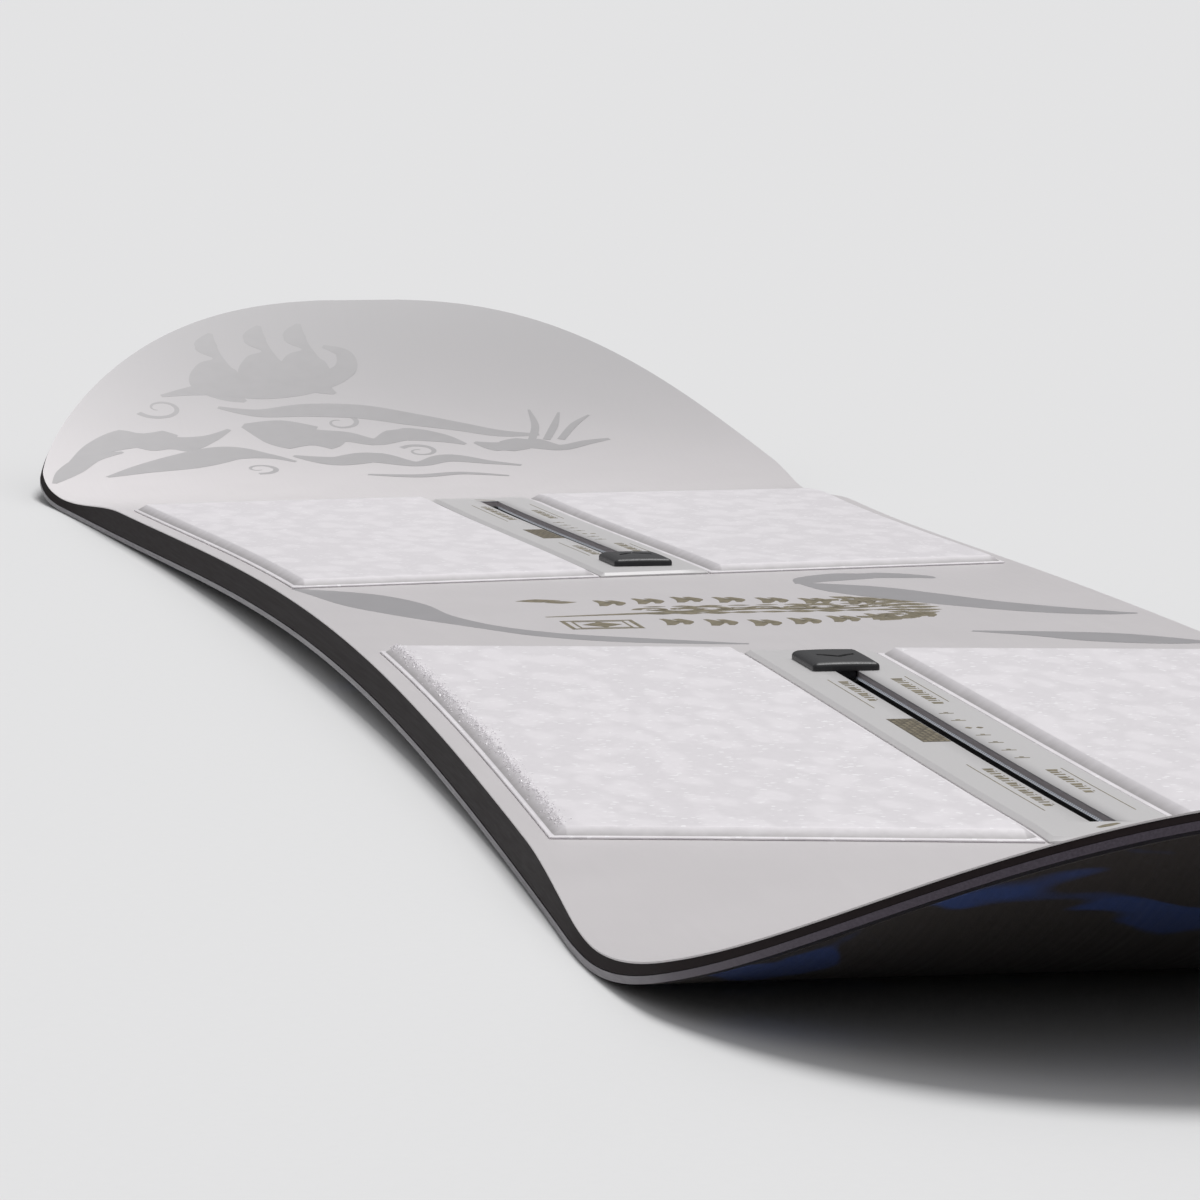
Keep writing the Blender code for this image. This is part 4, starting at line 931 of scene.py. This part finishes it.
def cap_level(x, y):
    """Height of the cap's upper face: rounded shoulders, a slight dome and a sunken chevron."""
    rim = min(PLUG_HALF_X - abs(x), PLUG_HALF_Y - abs(y), PLUG_ROUNDING)
    shoulder = math.sqrt(max(1 - (1 - rim / PLUG_ROUNDING) ** 2, 0))
    dome = 1 - 0.10 * (x / PLUG_HALF_X) ** 2 - 0.14 * (y / PLUG_HALF_Y) ** 2
    level = PLUG_BROW + (PLUG_CROWN - PLUG_BROW) * shoulder * dome
    if abs(y) < CHEVRON_SPREAD:
        off_line = abs(x - (CHEVRON_TIP - CHEVRON_SLOPE * abs(y))) / CHEVRON_SLANT
        level -= CHEVRON_DEPTH * float(1 - ease(CHEVRON_HALF - 0.0001, CHEVRON_HALF + 0.0001, off_line))
    return level


def plug_solid(end):
    """Cap, stem and tongue, tilted with the deck under the keyhole."""
    xs = np.linspace(-PLUG_HALF_X, PLUG_HALF_X, round(2 * PLUG_HALF_X / PLUG_GRID))
    ys = np.linspace(-PLUG_HALF_Y, PLUG_HALF_Y, round(2 * PLUG_HALF_Y / PLUG_GRID))
    cap = slab([[(x, y, PLUG_FOOT) for y in ys] for x in xs], [[(x, y, cap_level(x, y)) for y in ys] for x in xs])
    rounded = []
    for x, y, z in cap[0]:
        over_x = max(abs(x) - (PLUG_HALF_X - PLUG_CORNER), 0)
        over_y = max(abs(y) - (PLUG_HALF_Y - PLUG_CORNER), 0)
        reach = math.hypot(over_x, over_y)
        largest = max(over_x, over_y)
        pull = largest / reach if reach > 0 else 1
        rounded.append((x - math.copysign(over_x * (1 - pull), x), y - math.copysign(over_y * (1 - pull), y), z))
    parts = [(rounded, cap[1])]
    for (x0, x1), half, foot in (PLUG_STEM, PLUG_TONGUE):
        parts.append(slab([[(x, y, foot) for y in (-half, half)] for x in (x0, x1)],
                          [[(x, y, PLUG_FOOT + 0.0003) for y in (-half, half)] for x in (x0, x1)]))
    verts, faces = joined(parts)
    centre = end * KEYHOLE_CENTRE
    rise = deck_height(centre + PLUG_HALF_X) - deck_height(centre - PLUG_HALF_X)
    tilt = math.atan2(rise, 2 * PLUG_HALF_X)
    return [(centre + end * x * math.cos(tilt) - z * math.sin(tilt), y,
             deck_height(centre) + end * x * math.sin(tilt) + z * math.cos(tilt)) for x, y, z in verts], faces


for end_name, end in ENDS:
    plug = add_piece(f"channel_plug_moulded_{end_name}", plug_solid(end), [black_nylon, rubber_foil],
                     body=f"plug_{end_name}", sharp_above=50)
    centre = end * KEYHOLE_CENTRE
    # The plug is one moulding; the chevron's floor borrows the foil's matt black as painted shade in the recess, so
    # that its outline reads.
    for polygon in plug.data.polygons:
        x, y, z = polygon.center
        off_line = abs(end * (x + SETBACK - centre) - (CHEVRON_TIP - CHEVRON_SLOPE * abs(y))) / CHEVRON_SLANT
        if off_line < CHEVRON_HALF and abs(y) < CHEVRON_SPREAD and z > deck_height(centre) + PLUG_BROW:
            polygon.material_index = 1
    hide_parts(f"channel_plug_{end_name}")


# ---------------------------------------------------------------- channel nuts
# Black-zinc steel T-nuts for M6 screws, two in each channel, that slide along the track under the lips.
# Each is parked at its end of the slot. Its thread has a 1 mm pitch and stands about 0.7 mm above the nut.

THREAD_RADIUS, THREAD_PITCH, THREAD_DEPTH, THREAD_TURNS, THREAD_STEPS = 0.0025, 0.0010, 0.0003, 4, 20
THREAD_ROOT, THREAD_START = THREAD_RADIUS + 0.0002, 0.0003

# Black zinc plate: near-black metal with a faint olive bloom 4 mm across and rumbled micro-scratches.
black_zinc, tree, shader, place = start_finish("black_zinc_steel", Metallic=1.0)
bloom = add(tree, "ShaderNodeTexNoise", {"Vector": place, "Scale": 1 / 0.004, "Detail": 4.0})
zinc_colour = add(tree, "ShaderNodeMix", {0: bloom.outputs[0], 6: srgb("262628"), 7: srgb("3D3D38")},
                  data_type="RGBA")
zinc_dull = add(tree, "ShaderNodeMapRange", {"Value": bloom.outputs[0], "To Min": 0.28, "To Max": 0.5})
tree.links.new(zinc_colour.outputs[2], shader.inputs["Base Color"])
tree.links.new(zinc_dull.outputs[0], shader.inputs["Roughness"])

for end_name, end in ENDS:
    for place_name in ("inner", "outer"):
        nut = f"channel_nut_{end_name}_{place_name}"
        finish_node(nut, black_zinc)
        low_corner, high_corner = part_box(nut)
        nut_x = (low_corner[0] + high_corner[0]) / 2 + SETBACK
        foot = low_corner[2] + THREAD_START
        verts = []
        for step in range(THREAD_TURNS * THREAD_STEPS + 1):
            angle, climb = math.tau * step / THREAD_STEPS, THREAD_PITCH * step / THREAD_STEPS
            for radius, lift in ((THREAD_ROOT, 0.0), (THREAD_RADIUS - THREAD_DEPTH, THREAD_PITCH * 0.35),
                                 (THREAD_ROOT, THREAD_PITCH * 0.7)):
                verts.append((nut_x + radius * math.cos(angle), radius * math.sin(angle), foot + climb + lift))
        add_piece(f"nut_thread_{end_name}_{place_name}", tube(verts, 3), [black_zinc],
                  body=f"nut_{end_name}_{place_name}")


# ---------------------------------------------------------------- studio
# Seamless pale floor, a soft overcast dome that is brightest overhead, one broad soft key from above, a small
# light that falls on the nose's topsheet and print only, and a long lens set low behind the tail.

FLOOR_SIZE, FLOOR_LEVEL = 120.0, -0.0003
CAMERA_PLACE = (-1.99600, 0.39224, 0.22082)
CAMERA_RIGHT, CAMERA_UP = (-0.175228, -0.984528, -0.000635), (0.097226, -0.017946, 0.995101)
CAMERA_FORWARD = (0.979715, -0.174308, -0.098867)
LENS, SENSOR = 199.58, 36.0
KEY_POWER, KEY_SPREAD, KEY_LEAN = 1.95, math.radians(26), (math.radians(14), math.radians(9), 0)
DOME_HORIZON, DOME_ZENITH = 0.14, 0.62
RIM_LIGHT_PLACE, RIM_LIGHT_AIM = (0.76, 0.31, 0.17), (0.68, 0.12, 0.03)
RIM_LIGHT_SIZE, RIM_LIGHT_POWER = 0.16, 0.60

# Matt paper: even pale grey with a very faint fibre texture of 3 mm.
matt_paper, tree, shader, place = start_finish("matt_studio_paper", Roughness=0.9, Specular_IOR_Level=0.0)
fibres = add(tree, "ShaderNodeTexNoise", {"Vector": place, "Scale": 1 / 0.003, "Detail": 2.0})
paper_colour = add(tree, "ShaderNodeMix", {0: fibres.outputs[0], 6: srgb("E1E1E1"), 7: srgb("E3E3E3")},
                   data_type="RGBA")
tree.links.new(paper_colour.outputs[2], shader.inputs["Base Color"])

half = FLOOR_SIZE / 2
floor_mesh = bpy.data.meshes.new("studio_floor")
floor_mesh.from_pydata([(x, y, FLOOR_LEVEL) for x, y in ((-half, -half), (half, -half), (half, half), (-half, half))],
                       [], [(0, 1, 2, 3)])
floor_mesh.materials.append(matt_paper)
floor = bpy.data.objects.new("studio_floor", floor_mesh)
bpy.context.collection.objects.link(floor)

world = bpy.data.worlds.new("soft_dome")
bpy.context.scene.world = world
world.use_nodes = True
dome = world.node_tree
heading = add(dome, "ShaderNodeTexCoord")
split = add(dome, "ShaderNodeSeparateXYZ", {"Vector": heading.outputs["Generated"]})
overhead = add(dome, "ShaderNodeMapRange", {"Value": split.outputs["Z"], "From Min": 0.0, "From Max": 1.0,
                                            "To Min": DOME_HORIZON, "To Max": DOME_ZENITH})
dome.links.new(overhead.outputs[0], dome.nodes["Background"].inputs["Strength"])
dome.nodes["Background"].inputs["Color"].default_value = srgb("F4F4F6")

key_light = bpy.data.lights.new("key", "SUN")
key_light.energy, key_light.angle = KEY_POWER, KEY_SPREAD
key = bpy.data.objects.new("key", key_light)
key.rotation_euler = KEY_LEAN
bpy.context.collection.objects.link(key)

rim_light = bpy.data.lights.new("nose_rim_light", "AREA")
rim_light.shape, rim_light.size, rim_light.energy = "DISK", RIM_LIGHT_SIZE, RIM_LIGHT_POWER
rim = bpy.data.objects.new("nose_rim_light", rim_light)
rim.location = RIM_LIGHT_PLACE
rim.rotation_euler = (Vector(RIM_LIGHT_AIM) - Vector(RIM_LIGHT_PLACE)).to_track_quat("-Z", "Y").to_euler()
bpy.context.collection.objects.link(rim)
lit_sheet = bpy.data.collections.new("lit_by_nose_rim_light")
for piece in (topsheet, nose_print):
    lit_sheet.objects.link(piece)
rim.light_linking.receiver_collection = lit_sheet

lens = bpy.data.cameras.new("camera")
lens.lens, lens.sensor_width, lens.clip_start, lens.clip_end = LENS, SENSOR, 0.05, 300.0
camera = bpy.data.objects.new("camera", lens)
bpy.context.collection.objects.link(camera)
camera.matrix_world = Matrix([(CAMERA_RIGHT[i], CAMERA_UP[i], -CAMERA_FORWARD[i], CAMERA_PLACE[i])
                              for i in range(3)] + [(0, 0, 0, 1)])
bpy.context.scene.camera = camera
bpy.context.scene.view_settings.view_transform = "Standard"
